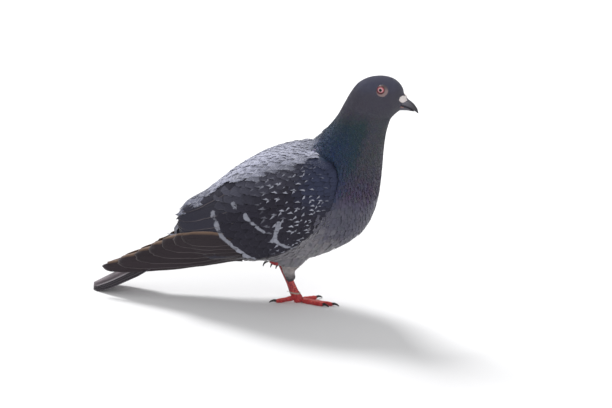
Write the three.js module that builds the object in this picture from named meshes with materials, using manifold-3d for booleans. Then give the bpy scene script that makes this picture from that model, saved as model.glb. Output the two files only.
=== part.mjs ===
// A feral pigeon (rock dove, Columba livia) in life size. It stands on its left foot, with the right foot drawn
// up into the belly feathers, the wings folded and the tip of the tail resting on the ground.
// Millimetres. +X is forward, +Y is the bird's left and +Z is up. The origin is on the floor, under the ball of
// the standing foot. Every solid is the true outer shape, out to the tips of the feathers.
import * as THREE from "three";
import { mergeVertices } from "three/addons/utils/BufferGeometryUtils.js";
import Module from "manifold-3d";

const wasm = await Module();
wasm.setup();

// ---- Driving dimensions ----
const GAP = 0.34; // between two solids that touch
const HEAD_HALF_WIDTH = 12.4;
const EYE_RADIUS = 5.4;
const EYE_CENTRE = [77.2, 6.7, 209]; // of the left eye
const BILL_TIP = [110.4, 0, 186.3];
const TAIL_SLOPE = THREE.MathUtils.degToRad(28);
const TAIL_YAW = THREE.MathUtils.degToRad(4.5); // the tip swings to the bird's left
const TAIL_LENGTH = 104; // from the tip to the root under the wings
const TAIL_TIP_HALF_WIDTH = 22;
const TAIL_TIP = [-190.5, 8, 0.3];
const FOOT = [0, 1.5]; // the ball of the standing foot, seen from above
const TOE_RADIUS = 2.4;
const CLAW_LENGTH = 7;
const THREAD_HEIGHT = 8.8; // of the thread round the standing leg
const THREAD_THICKNESS = 0.7;

// ---- Colours of the plumage and of the bare parts ----
const finish = (color, roughness = 0.75, metalness = 0) =>
  new THREE.MeshStandardMaterial({ color, roughness, metalness });
const SLATE = finish(0x4a4a53);
const GLOSSY_NECK = finish(0x3a4a4c, 0.45);
const BODY_GREY = finish(0x6a6a74);
const CHEQUERED_WING = finish(0x3a3a46);
const FLIGHT_BROWN = finish(0x433d40);
const TAIL_GREY = finish(0x4d4a52);
const THIGH_GREY = finish(0xa8a09f);
const BILL_HORN = finish(0x35353d, 0.4);
const CERE_WHITE = finish(0xd8d0cf, 0.6);
const EYE_ORANGE = finish(0xc0705f, 0.1);
const FOOT_RED = finish(0xb03a44, 0.55);
const CLAW_HORN = finish(0x2c2a2c, 0.4);
const THREAD_PALE = finish(0xcfc8bd, 0.8);

const point = (at) => new THREE.Vector3(...at);
const mirrored = ([x, y, z]) => [x, -y, z];

// ---- Solids ----
// A closed three.js geometry as a manifold-3d solid, with its faces pointing out.
function solidOf(geometry) {
  const bare = geometry.clone();
  bare.deleteAttribute("normal");
  bare.deleteAttribute("uv");
  const merged = mergeVertices(bare, 1e-4);
  const vertProperties = merged.attributes.position.array;
  const triVerts = new Uint32Array(merged.index.array);
  const made = new wasm.Manifold(new wasm.Mesh({ numProp: 3, vertProperties, triVerts }));
  if (made.volume() > 0) return made;
  return new wasm.Manifold(new wasm.Mesh({ numProp: 3, vertProperties, triVerts: triVerts.reverse() }));
}

// A corner of a flat outline, moved so that both of its sides move out by grow. At a knife edge it moves less.
function grownCorner(before, at, after, grow) {
  const outward = (from, to) => new THREE.Vector2(to.y - from.y, from.x - to.x).normalize();
  const [first, second] = [outward(before, at), outward(at, after)];
  const spread = Math.max(1 + first.dot(second), 0.05);
  return at.clone().addScaledVector(first.add(second), grow / spread);
}

// A closed body through a row of rings. A ring is { top, bottom, out, inn }: its highest and lowest point, and how
// far it swells on its outer and on its inner side, square to the line between them. A negative inn hollows the
// inner side, as on a wing that hugs the body. The body ends in a point beyond its first ring and another beyond
// its last. All its faces move out by grow.
function ringBody({ first, rings, last, side = [0, 1, 0] }, { spokes, perRing, grow = 0 }) {
  const through = (places) => new THREE.CatmullRomCurve3(places, false, "centripetal");
  const tops = through(rings.map(({ top }) => point(top)));
  const bottoms = through(rings.map(({ bottom }) => point(bottom)));
  const swells = new THREE.CatmullRomCurve3(rings.map(({ out, inn = out }) => new THREE.Vector3(out, inn, 0)));
  const count = (rings.length - 1) * perRing;
  const geometry = new THREE.SphereGeometry(1, spokes, count + 2);
  const position = geometry.getAttribute("position");
  const pole = (at, ring) => {
    const centre = point(rings[ring].top).add(point(rings[ring].bottom)).multiplyScalar(0.5);
    const way = point(at).sub(centre).normalize();
    return point(at).addScaledVector(way, grow);
  };
  for (let i = 0; i < position.count; i += 1) {
    const [x, y, z] = [position.getX(i), position.getY(i), position.getZ(i)];
    const step = Math.round((Math.acos(THREE.MathUtils.clamp(y, -1, 1)) / Math.PI) * (count + 2));
    let place;
    if (step === 0) place = pole(first, 0);
    else if (step === count + 2) place = pole(last, rings.length - 1);
    else {
      const share = (step - 1) / count;
      const top = tops.getPoint(share);
      const bottom = bottoms.getPoint(share);
      const swell = swells.getPoint(share);
      const half = top.clone().sub(bottom).multiplyScalar(0.5);
      const up = half.clone().normalize();
      const across = point(side).addScaledVector(up, -point(side).dot(up)).normalize();
      const turn = Math.atan2(z, x);
      const corner = (angle) => {
        const sine = Math.sin(angle);
        return new THREE.Vector2(Math.cos(angle) * half.length(), sine * (sine > 0 ? swell.x : swell.y));
      };
      const turnStep = (2 * Math.PI) / spokes;
      const grown = grownCorner(corner(turn - turnStep), corner(turn), corner(turn + turnStep), grow);
      place = top.add(bottom).multiplyScalar(0.5).addScaledVector(up, grown.x).addScaledVector(across, grown.y);
    }
    position.setXYZ(i, place.x, place.y, place.z);
  }
  return solidOf(geometry);
}

// A limb: a round or flattened rod along a path of { at, depth, width }, with rounded ends.
function limb(path, { spokes = 10, perRing = 2, grow = 0, cap = 0.5 } = {}) {
  const places = path.map(({ at }) => point(at));
  const end = path.length - 1;
  const way = (i) => places[Math.min(i + 1, end)].clone().sub(places[Math.max(i - 1, 0)]).normalize();
  const overall = places[end].clone().sub(places[0]);
  const side = new THREE.Vector3(-overall.y, overall.x, 0).normalize(); // level, and square to the limb
  const rings = path.map(({ depth, width = depth }, i) => {
    const up = side.clone().cross(way(i)).normalize();
    return {
      top: places[i].clone().addScaledVector(up, depth).toArray(),
      bottom: places[i].clone().addScaledVector(up, -depth).toArray(),
      out: width,
    };
  });
  const first = places[0].clone().addScaledVector(way(0), -path[0].depth * cap).toArray();
  const last = places[end].clone().addScaledVector(way(end), path[end].depth * cap).toArray();
  return ringBody({ first, rings, last, side: side.toArray() }, { spokes, perRing, grow });
}

// Everything on the far side of a plane, within reach of the bird.
function beyond(at, towards, shift = 0) {
  const size = 500;
  const way = point(towards).normalize();
  const box = new THREE.BoxGeometry(size, size, size);
  box.applyQuaternion(new THREE.Quaternion().setFromUnitVectors(new THREE.Vector3(0, 0, 1), way));
  const centre = point(at).addScaledVector(way, size / 2 + shift);
  box.translate(centre.x, centre.y, centre.z);
  return solidOf(box);
}

// ---- Trunk, neck and head: one body from the rump to the root of the bill, which thin cuts part later ----
const BODY_RINGS = [
  { top: [-108, 0, 75], bottom: [-113, 0, 54], out: 14.5 },
  { top: [-86, 0, 94], bottom: [-94, 0, 46], out: 23.5 },
  { top: [-58, 0, 115], bottom: [-66, 0, 40.5], out: 34 },
  { top: [-32, 0, 131.5], bottom: [-33, 0, 39], out: 42 },
  { top: [-11, 0, 142], bottom: [2, 0, 42], out: 45.5 },
  { top: [6, 0, 150], bottom: [33, 0, 53.5], out: 45 },
  { top: [18, 0, 158.5], bottom: [59, 0, 71], out: 41 },
  { top: [25.2, 0, 167.6], bottom: [71, 0, 95], out: 36 },
  { top: [31.5, 0, 175], bottom: [75.5, 0, 121], out: 30 },
  { top: [37.2, 0, 183.2], bottom: [77.5, 0, 145], out: 24.5 },
  { top: [42.3, 0, 193], bottom: [80, 0, 165], out: 19.5 },
  { top: [47.8, 0, 203], bottom: [83.5, 0, 177.5], out: 16 },
  { top: [54.5, 0, 212.2], bottom: [84.6, 0, 180.2], out: 14 },
  { top: [64, 0, 217.9], bottom: [86, 0, 182], out: HEAD_HALF_WIDTH },
  { top: [75, 0, 220], bottom: [87.4, 0, 183.6], out: HEAD_HALF_WIDTH },
  { top: [84, 0, 219], bottom: [88.8, 0, 185.2], out: 11.4 },
  { top: [90.2, 0, 216], bottom: [90.8, 0, 187], out: 9 },
  { top: [94.6, 0, 211], bottom: [92.6, 0, 188.4], out: 6.4 },
  { top: [97, 0, 205.4], bottom: [94.6, 0, 190], out: 4.4 },
];
const bodyShape = (grow = 0) =>
  ringBody(
    { first: [-119, 0, 61], rings: BODY_RINGS, last: [98.4, 0, 198] },
    { spokes: 22, perRing: 2, grow },
  );

// ---- Folded wing: coverts, secondaries and tertials hug the side of the body ----
const WING_RINGS = [
  { top: [42, 31, 140], bottom: [42, 37, 121], out: 3, inn: 1 },
  { top: [36, 26.5, 147], bottom: [39, 40.5, 105], out: 7.5, inn: -1 },
  { top: [18, 21, 150.5], bottom: [22, 43, 80], out: 15.5, inn: -7.5 },
  { top: [-8, 17, 147.5], bottom: [-6, 40.5, 59], out: 19.5, inn: -12 },
  { top: [-36, 12.5, 138], bottom: [-36, 37, 49], out: 20, inn: -13.5 },
  { top: [-64, 8.5, 119.5], bottom: [-60, 32, 43.5], out: 16, inn: -10.5 },
  { top: [-88, 6, 99], bottom: [-84, 27, 45], out: 10.5, inn: -6 },
  { top: [-106, 6, 88], bottom: [-104, 20, 60], out: 4.5, inn: -1.5 },
];
const TIP_RINGS = [
  { top: [-56, 27, 70], bottom: [-54, 31, 42], out: 4, inn: 0.5 },
  { top: [-82, 20, 74], bottom: [-80, 27, 35.5], out: 3.2, inn: -0.5 },
  { top: [-108, 14, 66.5], bottom: [-107, 22, 29], out: 3.6, inn: -1.2 },
  { top: [-134, 10, 51.5], bottom: [-133, 17, 24.5], out: 3, inn: -1 },
  { top: [-157, 8, 40.5], bottom: [-157, 12.5, 22.5], out: 2.2, inn: -0.4 },
  { top: [-176, 7, 31], bottom: [-177, 9, 22], out: 1.6, inn: 0.3 },
];
const mirroredRings = (rings) =>
  rings.map(({ top, bottom, ...swell }) => ({ top: mirrored(top), bottom: mirrored(bottom), ...swell }));
function wingShape(left, grow = 0) {
  const shape = { first: [44.5, 34, 130], rings: WING_RINGS, last: [-114, 12.5, 74.5] };
  return ringBody(sided(shape, left), { spokes: 18, perRing: 2, grow });
}
function wingTipShape(left, grow = 0) {
  const shape = { first: [-50, 30, 55], rings: TIP_RINGS, last: [-184, 8, 25.6] };
  return ringBody(sided(shape, left), { spokes: 10, perRing: 2, grow });
}
function sided({ first, rings, last }, left) {
  if (left) return { first, rings, last, side: [0, 1, 0] };
  return { first: mirrored(first), rings: mirroredRings(rings), last: mirrored(last), side: [0, -1, 0] };
}

// ---- Tail: twelve folded feathers as one arched stack that slopes down to the ground ----
// back is a share of the tail's length, and lift and drop are from its middle line.
const TAIL_RINGS = [
  { back: 1, half: 17.5, lift: 6, drop: 6 },
  { back: 0.7, half: 18.5, lift: 5, drop: 6 },
  { back: 0.4, half: 20, lift: 4, drop: 6.5 },
  { back: 0.16, half: TAIL_TIP_HALF_WIDTH, lift: 3.2, drop: 5.5 },
  { back: 0.03, half: TAIL_TIP_HALF_WIDTH * 0.9, lift: 2.6, drop: 2.5 },
];
function tailShape(grow = 0) {
  const place = (back, lift) => {
    const along = back * TAIL_LENGTH * Math.cos(TAIL_SLOPE) - lift * Math.sin(TAIL_SLOPE);
    const height = back * TAIL_LENGTH * Math.sin(TAIL_SLOPE) + lift * Math.cos(TAIL_SLOPE);
    const [x, y, z] = TAIL_TIP;
    return [x + along * Math.cos(TAIL_YAW), y - along * Math.sin(TAIL_YAW), z + height];
  };
  const rings = TAIL_RINGS.map(({ back, half, lift, drop }) => ({
    top: place(back, lift),
    bottom: place(back, -drop),
    out: half,
  }));
  const side = [Math.sin(TAIL_YAW), Math.cos(TAIL_YAW), 0];
  const shape = { first: place(1.06, 0), rings, last: place(0, 0), side };
  return ringBody(shape, { spokes: 16, perRing: 2, grow });
}

// ---- Bill: two horny halves with the white cere over the nostrils ----
const upperBillShape = (grow = 0) =>
  ringBody(
    {
      first: [89, 0, 198],
      rings: [
        { top: [91, 0, 203.4], bottom: [91, 0, 194.6], out: 4.3 },
        { top: [96.4, 0, 202.4], bottom: [95.6, 0, 193.9], out: 4 },
        { top: [101, 0, 199], bottom: [100.2, 0, 192.4], out: 3.2 },
        { top: [105.6, 0, 195.5], bottom: [104.6, 0, 190.4], out: 2.6 },
        { top: [109, 0, 190.9], bottom: [107.6, 0, 188.6], out: 1.7 },
      ],
      last: BILL_TIP,
    },
    { spokes: 12, perRing: 2, grow },
  );
const lowerBillShape = (grow = 0) =>
  ringBody(
    {
      first: [87, 0, 191],
      rings: [
        { top: [90, 0, 194], bottom: [90, 0, 187.4], out: 4.2 },
        { top: [95, 0, 193.4], bottom: [94.6, 0, 188.5], out: 3.6 },
        { top: [100.2, 0, 191.8], bottom: [99.8, 0, 189.3], out: 2.6 },
        { top: [104, 0, 190.2], bottom: [103.8, 0, 188.8], out: 1.8 },
      ],
      last: [106.8, 0, 188.3],
    },
    { spokes: 10, perRing: 2, grow },
  );
function cereShape(left, grow = 0) {
  const shape = {
    first: [89.8, 4.6, 201],
    rings: [
      { top: [91.8, 3.8, 203.6], bottom: [91.4, 4.6, 198.4], out: 3.2 },
      { top: [94.8, 2.8, 204.6], bottom: [94, 4, 196.8], out: 3.1 },
      { top: [98.2, 2, 202.4], bottom: [97, 3.2, 197], out: 2.3 },
    ],
    last: [100.2, 1.9, 198.8],
  };
  return ringBody(sided(shape, left), { spokes: 10, perRing: 2, grow });
}

function eyeShape(left, grow = 0) {
  const eye = new THREE.SphereGeometry(EYE_RADIUS + grow, 12, 8);
  const centre = left ? EYE_CENTRE : mirrored(EYE_CENTRE);
  eye.translate(...centre);
  return solidOf(eye);
}

// ---- Standing leg ----
const thighShape = (grow = 0) =>
  limb(
    [
      { at: [0, 8, 60], depth: 17, width: 14 },
      { at: [-6.6, 7.4, 44], depth: 12, width: 11 },
      { at: [-10.2, 6.6, 34], depth: 7.6, width: 7.6 },
      { at: [-11, 6, 27], depth: 4.3, width: 4.9 },
      { at: [-8.8, 5.4, 20.5], depth: 3.8, width: 3.9 },
    ],
    { spokes: 16, grow },
  );
const shankShape = (grow = 0) =>
  limb(
    [
      { at: [-17.6, 6.4, 35], depth: 3.9, width: 2.9 },
      { at: [-15, 6, 29], depth: 3.7, width: 2.7 },
      { at: [-9.2, 4.4, 17.5], depth: 3.7, width: 2.8 },
      { at: [-4.9, 2.6, 8.4], depth: 4.3, width: 3.3 },
      { at: [-1.6, FOOT[1], 4.2], depth: 4.4, width: 3.9 },
      { at: [...FOOT, 0.8], depth: 4.2, width: 4.2 },
    ],
    { spokes: 10, grow },
  );

// A toe of the standing foot lies on the ground from the ball outwards. Each of its pads swells a little.
const STANDING_TOES = {
  hallux: { turn: 197, length: 21, pads: 2, rise: 2.6 },
  inner: { turn: -19, length: 24.5, pads: 2, rise: 0 },
  middle: { turn: -9, length: 32, pads: 3, rise: 0 },
  outer: { turn: 42, length: 17.5, pads: 3, rise: 0 },
};
const TOE_START = 4.2; // from the ball
const TOE_TAPER = 0.22; // of the radius, from root to tip
const TOE_HEIGHT = 0.8; // of the middle line, in radii, so that each pad meets the ground in a small flat
function toeLine({ turn, length }) {
  const angle = THREE.MathUtils.degToRad(turn);
  const way = [Math.cos(angle), Math.sin(angle)];
  const at = (share, height) => {
    const far = TOE_START + (length - TOE_START) * share;
    return [FOOT[0] + way[0] * far, FOOT[1] + way[1] * far, height];
  };
  return { way, at };
}
function toeShape(name, grow = 0) {
  const { pads, rise } = STANDING_TOES[name];
  const { at } = toeLine(STANDING_TOES[name]);
  const path = [];
  const stops = pads * 2;
  for (let i = 0; i <= stops; i += 1) {
    const share = i / stops;
    const radius = TOE_RADIUS * (1 - TOE_TAPER * share);
    const swell = i % 2 ? 1.04 : 0.86; // a pad, or the crease before the next one
    path.push({ at: at(share, radius * TOE_HEIGHT + rise * (1 - share) ** 1.5), depth: radius * swell });
  }
  return limb(path, { spokes: 8, perRing: 1, grow });
}
function clawShape(name, grow = 0) {
  const { at, way } = toeLine(STANDING_TOES[name]);
  const root = at(1, 0);
  const place = (far, lift) => [root[0] + way[0] * far, root[1] + way[1] * far, lift];
  return limb(
    [
      { at: place(0.6, 1.9), depth: 1.35, width: 1.1 },
      { at: place(CLAW_LENGTH * 0.35, 2.3), depth: 1.15, width: 0.9 },
      { at: place(CLAW_LENGTH * 0.7, 1.7), depth: 0.8, width: 0.65 },
      { at: place(CLAW_LENGTH * 0.95, 0.6), depth: 0.4, width: 0.35 },
    ],
    { spokes: 6, perRing: 1, grow, cap: 1 },
  );
}

// A thread wound round the leg just above the foot: a band that follows the shank.
function threadShape() {
  const at = [0, 0, THREAD_HEIGHT];
  const band = shankShape(GAP + THREAD_THICKNESS).subtract(shankShape(GAP));
  return band
    .intersect(beyond(at, [0, 0, 1], -THREAD_THICKNESS / 2))
    .intersect(beyond(at, [0, 0, -1], -THREAD_THICKNESS / 2));
}

// ---- Drawn-up foot: the toes are clenched under the belly, with the claws showing ----
const DRAWN_TOES = [
  { name: "inner", at: [-12, -7.5, 41], turn: 188 },
  { name: "middle", at: [-6.4, -12, 41], turn: 180 },
  { name: "outer", at: [-17.4, -16.8, 43.8], turn: 176 },
];
function drawnToeLine({ at: [x, y, z], turn }) {
  const angle = THREE.MathUtils.degToRad(turn);
  return (back, lift) => [x + Math.cos(angle) * back, y + Math.sin(angle) * back, z + lift];
}
function drawnToeShape(toe, grow = 0) {
  const at = drawnToeLine(toe);
  return limb(
    [
      { at: at(-7, 1), depth: TOE_RADIUS },
      { at: at(-3, -1.6), depth: TOE_RADIUS * 1.05 },
      { at: at(2, -1.8), depth: TOE_RADIUS * 0.95 },
      { at: at(6, 0), depth: TOE_RADIUS * 0.8 },
    ],
    { spokes: 8, grow },
  );
}
function drawnClawShape(toe, grow = 0) {
  const at = drawnToeLine(toe);
  return limb(
    [
      { at: at(8, -0.4), depth: 1.3, width: 1.05 },
      { at: at(10.4, -1.6), depth: 1.1, width: 0.85 },
      { at: at(12.2, -3.8), depth: 0.7, width: 0.6 },
      { at: at(12.8, -6), depth: 0.35, width: 0.3 },
    ],
    { spokes: 6, perRing: 1, grow, cap: 1 },
  );
}

// ---- The bird is put together: what lies on top keeps its shape, and what it lies on makes room ----
const floor = beyond([0, 0, 0], [0, 0, -1]);
const group = new THREE.Group();
function add(name, solid, material) {
  const mesh = solid.getMesh();
  const stride = mesh.numProp;
  const places = new Float32Array(mesh.numVert * 3);
  for (let i = 0; i < mesh.numVert; i += 1) {
    places.set(mesh.vertProperties.subarray(i * stride, i * stride + 3), i * 3);
  }
  const geometry = new THREE.BufferGeometry();
  geometry.setAttribute("position", new THREE.BufferAttribute(places, 3));
  geometry.setIndex(new THREE.BufferAttribute(mesh.triVerts, 1));
  geometry.computeVertexNormals();
  const made = new THREE.Mesh(geometry, material);
  made.name = name;
  group.add(made);
}
// What is left of a solid after its neighbours have cut it. Loose slivers are dropped.
function without(solid, ...others) {
  const left = others.reduce((kept, other) => kept.subtract(other), solid);
  return left.decompose().sort((a, b) => b.volume() - a.volume())[0];
}

const SIDES = [
  ["left", true],
  ["right", false],
];
const bodyGrown = bodyShape(GAP);
const wingsGrown = SIDES.map(([, left]) => wingShape(left, GAP));
const tipsGrown = SIDES.map(([, left]) => wingTipShape(left, GAP));
const eyesGrown = SIDES.map(([, left]) => eyeShape(left, GAP));
const flesh = without(bodyShape(), ...wingsGrown, ...tipsGrown, ...eyesGrown);
const NECK_BASE = { at: [50, 0, 130], towards: [0.78, 0, 1] };
const HEAD_BASE = { at: [62, 0, 187], towards: [0.32, 0, 1] };
const back = (direction) => direction.map((n) => -n);
const aboveNeckBase = beyond(NECK_BASE.at, NECK_BASE.towards, GAP / 2);
const belowNeckBase = beyond(NECK_BASE.at, back(NECK_BASE.towards), GAP / 2);
const aboveHeadBase = beyond(HEAD_BASE.at, HEAD_BASE.towards, GAP / 2);
const belowHeadBase = beyond(HEAD_BASE.at, back(HEAD_BASE.towards), GAP / 2);
add("trunk", flesh.intersect(belowNeckBase), BODY_GREY);
add("neck", flesh.intersect(aboveNeckBase).intersect(belowHeadBase), GLOSSY_NECK);
add("head", flesh.intersect(aboveHeadBase), SLATE);

for (const [side, left] of SIDES) {
  add(`eye_${side}`, eyeShape(left), EYE_ORANGE);
  const otherHalf = beyond([0, 0, 0], [0, left ? -1 : 1, 0], -GAP / 2);
  add(`cere_${side}`, without(cereShape(left), bodyGrown, otherHalf), CERE_WHITE);
  add(`wing_${side}`, wingShape(left), CHEQUERED_WING);
  add(`wing_tip_${side}`, without(wingTipShape(left), left ? wingsGrown[0] : wingsGrown[1]), FLIGHT_BROWN);
}
const ceresGrown = SIDES.map(([, left]) => cereShape(left, GAP));
add("upper_bill", without(upperBillShape(), bodyGrown, ...ceresGrown), BILL_HORN);
add("lower_bill", without(lowerBillShape(), bodyGrown, upperBillShape(GAP)), BILL_HORN);
add("tail", without(tailShape(), bodyGrown, ...wingsGrown, ...tipsGrown, floor), TAIL_GREY);

add("thigh_left", without(thighShape(), bodyGrown), THIGH_GREY);
add("shank_left", without(shankShape(), thighShape(GAP), bodyGrown, floor), FOOT_RED);
add("thread_left", without(threadShape(), toeShape("hallux", GAP)), THREAD_PALE);
for (const name of Object.keys(STANDING_TOES)) {
  const nextToe = name === "inner" || name === "outer" ? [toeShape("middle", GAP)] : [];
  add(`toe_left_${name}`, without(toeShape(name), shankShape(GAP), ...nextToe, floor), FOOT_RED);
  add(`claw_left_${name}`, without(clawShape(name), toeShape(name, GAP), floor), CLAW_HORN);
}
for (const toe of DRAWN_TOES) {
  add(`toe_right_${toe.name}`, without(drawnToeShape(toe), bodyGrown), FOOT_RED);
  add(`claw_right_${toe.name}`, without(drawnClawShape(toe), drawnToeShape(toe, GAP), bodyGrown), CLAW_HORN);
}

export default group;
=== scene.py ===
# A feral pigeon in life size, standing on its left foot: its eyes, bill, skin, feathers, feet and a thread.
# Metres. +X is forward, +Y is the bird's left and +Z is up. The floor is at Z = 0.
import math

import bmesh
import bpy
import numpy as np
from mathutils import Matrix, Vector
from mathutils.bvhtree import BVHTree
from mathutils.kdtree import KDTree


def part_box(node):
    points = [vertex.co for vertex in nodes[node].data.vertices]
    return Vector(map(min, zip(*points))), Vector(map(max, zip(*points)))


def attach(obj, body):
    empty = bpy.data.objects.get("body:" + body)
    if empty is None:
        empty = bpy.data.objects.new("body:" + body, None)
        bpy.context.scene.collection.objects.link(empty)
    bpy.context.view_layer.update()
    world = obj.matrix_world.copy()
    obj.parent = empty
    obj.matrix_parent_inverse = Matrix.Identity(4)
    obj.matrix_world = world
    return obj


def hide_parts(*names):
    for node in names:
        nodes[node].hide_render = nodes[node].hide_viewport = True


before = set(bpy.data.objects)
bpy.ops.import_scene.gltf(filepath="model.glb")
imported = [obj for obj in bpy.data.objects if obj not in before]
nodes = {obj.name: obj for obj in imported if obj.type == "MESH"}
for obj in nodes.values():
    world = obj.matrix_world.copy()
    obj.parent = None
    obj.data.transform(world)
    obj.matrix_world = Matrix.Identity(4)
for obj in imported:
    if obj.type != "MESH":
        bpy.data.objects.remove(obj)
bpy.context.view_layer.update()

# ---- Camera ----
# A long lens stands five metres off, a little ahead of the bird's right side and somewhat above it. It is
# aimed at the middle of the body.
MM = 0.001
AIM = Vector((6.5, 0, 94.7)) * MM
AZIMUTH = math.radians(12)
ELEVATION = math.radians(17)
DISTANCE = 5
away = Vector((math.sin(AZIMUTH), -math.cos(AZIMUTH), math.tan(ELEVATION))).normalized()
lens = bpy.data.cameras.new("camera")
lens.sensor_width = 36
lens.lens = 323
camera = bpy.data.objects.new("camera", lens)
camera.location = AIM + away * DISTANCE
camera.rotation_euler = away.to_track_quat("Z", "Y").to_euler()
scene = bpy.context.scene
scene.collection.objects.link(camera)
scene.camera = camera
scene.view_settings.view_transform = "Standard"

# ---- Floor and lamps ----
# A pale matt studio floor. A large soft lamp is behind and above the bird, a weaker one is on the camera's
# side, and the surround is an even white.
ground = bmesh.new()
bmesh.ops.create_grid(ground, x_segments=1, y_segments=1, size=12)
ground_mesh = bpy.data.meshes.new("floor")
ground.to_mesh(ground_mesh)
ground.free()
floor = bpy.data.objects.new("floor", ground_mesh)
scene.collection.objects.link(floor)
floor_paint = bpy.data.materials.new("floor_paint")
floor_paint.use_nodes = True
floor_shader = floor_paint.node_tree.nodes["Principled BSDF"]
floor_shader.inputs["Base Color"].default_value = (0.83, 0.83, 0.84, 1)
floor_shader.inputs["Roughness"].default_value = 0.9
ground_mesh.materials.append(floor_paint)


def soft_lamp(name, place, size, watts):
    """A square soft lamp that looks at the bird."""
    light = bpy.data.lights.new(name, "AREA")
    light.size = size
    light.energy = watts
    lamp = bpy.data.objects.new(name, light)
    lamp.location = place
    lamp.rotation_euler = (Vector(place) - AIM).to_track_quat("Z", "Y").to_euler()
    scene.collection.objects.link(lamp)


soft_lamp("back_lamp", (-0.9, 1.5, 2.2), 0.7, 66)
soft_lamp("camera_lamp", (1.2, -2.2, 1.6), 1.6, 19)
surround = bpy.data.worlds.new("surround")
surround.use_nodes = True
sky = surround.node_tree.nodes["Background"].inputs
sky["Color"].default_value = (1, 1, 1, 1)
sky["Strength"].default_value = 0.58
scene.world = surround


def closed_form(name, parts, voxel, swell=0.3 * MM, smoothing=2):
    """One closed smooth mesh round copies of solids, which swell until they overlap."""
    joined = bmesh.new()
    for part in parts:
        joined.from_mesh(nodes[part].data)
    bmesh.ops.remove_doubles(joined, verts=joined.verts, dist=1e-6)
    joined.normal_update()
    for vert in joined.verts:
        vert.co += vert.normal * swell
    mesh = bpy.data.meshes.new(name)
    joined.to_mesh(mesh)
    joined.free()
    piece = bpy.data.objects.new(name, mesh)
    scene.collection.objects.link(piece)
    shell = piece.modifiers.new("shell", "REMESH")
    shell.mode = "VOXEL"
    shell.voxel_size = voxel
    smooth = piece.modifiers.new("smooth", "SMOOTH")
    smooth.iterations = smoothing
    graph = bpy.context.evaluated_depsgraph_get()
    whole = bpy.data.meshes.new_from_object(piece.evaluated_get(graph))
    piece.modifiers.clear()
    piece.data = whole
    whole.materials.clear()
    whole.shade_smooth()
    return piece


def solid_tree(*parts):
    """The faces of some solids, for rays to hit."""
    merged = bmesh.new()
    for part in parts:
        merged.from_mesh(nodes[part].data)
    found = BVHTree.FromBMesh(merged)
    merged.free()
    return found


def corners_of(mesh):
    """The places of a mesh's vertices, one row each."""
    found = np.empty(len(mesh.vertices) * 3)
    mesh.vertices.foreach_get("co", found)
    return found.reshape(-1, 3)


def outward_of(mesh):
    """The directions out of a mesh at its vertices, one row each."""
    found = np.empty(len(mesh.vertices) * 3, np.float32)
    mesh.vertex_normals.foreach_get("vector", found)
    return found.reshape(-1, 3)


def ramp(value, low, high):
    """0 up to low and 1 from high on, with a smooth change between. Low may be the larger."""
    share = np.clip((value - low) / (high - low), 0, 1)
    return share * share * (3 - 2 * share)


def srgb(red, green, blue):
    """A colour of 0 to 255 in the linear numbers that a shader takes."""
    share = np.array((red, green, blue)) / 255
    return np.where(share <= 0.04045, share / 12.92, ((share + 0.055) / 1.055) ** 2.4)


HEAD_SLATE = srgb(76, 74, 87)
CROWN_BLUE = srgb(83, 84, 104)
NECK_GREEN = srgb(47, 66, 70)
NECK_BLUE = srgb(43, 59, 86)
NECK_FRONT = srgb(78, 80, 88)
NECK_PURPLE = srgb(76, 70, 91)
BREAST_GREY = srgb(85, 84, 97)
BELLY_GREY = srgb(126, 124, 130)
# The pale blue grey of the back, partly its own colour and partly lightened with painted sunlight.
SUNLIT_MANTLE_GREY = srgb(150, 152, 170)
VENT_GREY = srgb(104, 104, 113)
RUMP_GREY = srgb(92, 94, 110)
BACK_LINE = ((-108, -58, -11, 18, 30, 38), (75, 115, 142, 158, 170, 184))  # the back's height along x
NECK_BASE = (50, 115)  # x and z of the low end of the neck's middle line, in mm
NECK_RUN, NECK_RISE = 22, 85  # from there to its high end
NECK_LENGTH = 88


def up_the_neck(at):
    """0 at the base of the neck and 1 at the top of it."""
    x, z = at[..., 0] / MM - NECK_BASE[0], at[..., 2] / MM - NECK_BASE[1]
    return (x * NECK_RUN + z * NECK_RISE) / (NECK_RUN**2 + NECK_RISE**2)


def plumage(at):
    """The colour of the coat at places on the body."""
    x, z = at[..., 0] / MM, at[..., 2] / MM
    rise = up_the_neck(at)
    before = ((x - NECK_BASE[0]) * NECK_RISE - (z - NECK_BASE[1]) * NECK_RUN) / NECK_LENGTH  # the neck's line
    under_back = np.interp(x, *BACK_LINE) - z
    colour = np.broadcast_to(BREAST_GREY, at.shape).copy()
    zones = (
        (BELLY_GREY, ramp((x - 46 + z - 85) * 0.7, 2, -24)),
        (VENT_GREY, ramp(x, -62, -98)),
        (NECK_PURPLE, ramp(rise, -0.12, 0.1) * ramp(x, 14, 26)),
        (NECK_GREEN, ramp(rise, 0.16, 0.4) * ramp(x, 14, 24) * ramp(before, 10, -3)),
        (NECK_FRONT, ramp(rise, 0.1, 0.5) * ramp(before, -3, 10)),
        (NECK_BLUE, ramp(rise, -0.2, 0.06) * ramp(rise, 0.85, 0.45) * ramp(before, 8, -18)),
        (HEAD_SLATE, ramp(rise - 0.004 * before, 0.72, 0.94)),
        (CROWN_BLUE, ramp(z, 203, 214) * ramp(x, 50, 60)),
        (SUNLIT_MANTLE_GREY, ramp(under_back, 30, 14) * ramp(x, 31, 2) * ramp(rise, 0.5, 0.34)),
        (RUMP_GREY, ramp(x, -66, -84) * ramp(z, 52, 60)),
    )
    for tone, share in zones:
        colour += (tone - colour) * share[..., None]
    return colour


def feather_length(at):
    """How long the body feathers are at these places: shortest on the face, longest on the belly and rump."""
    rise = up_the_neck(at)
    length = np.interp(rise, (-0.6, -0.2, 0, 0.25, 0.5, 0.8, 0.95), (12, 10.5, 8.5, 6.5, 5, 3.6, 2.7))
    face = np.interp(at[..., 0] / MM, (78, 92), (1, 0.62))
    return np.where(rise > 0.78, length * face, length) * MM


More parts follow.
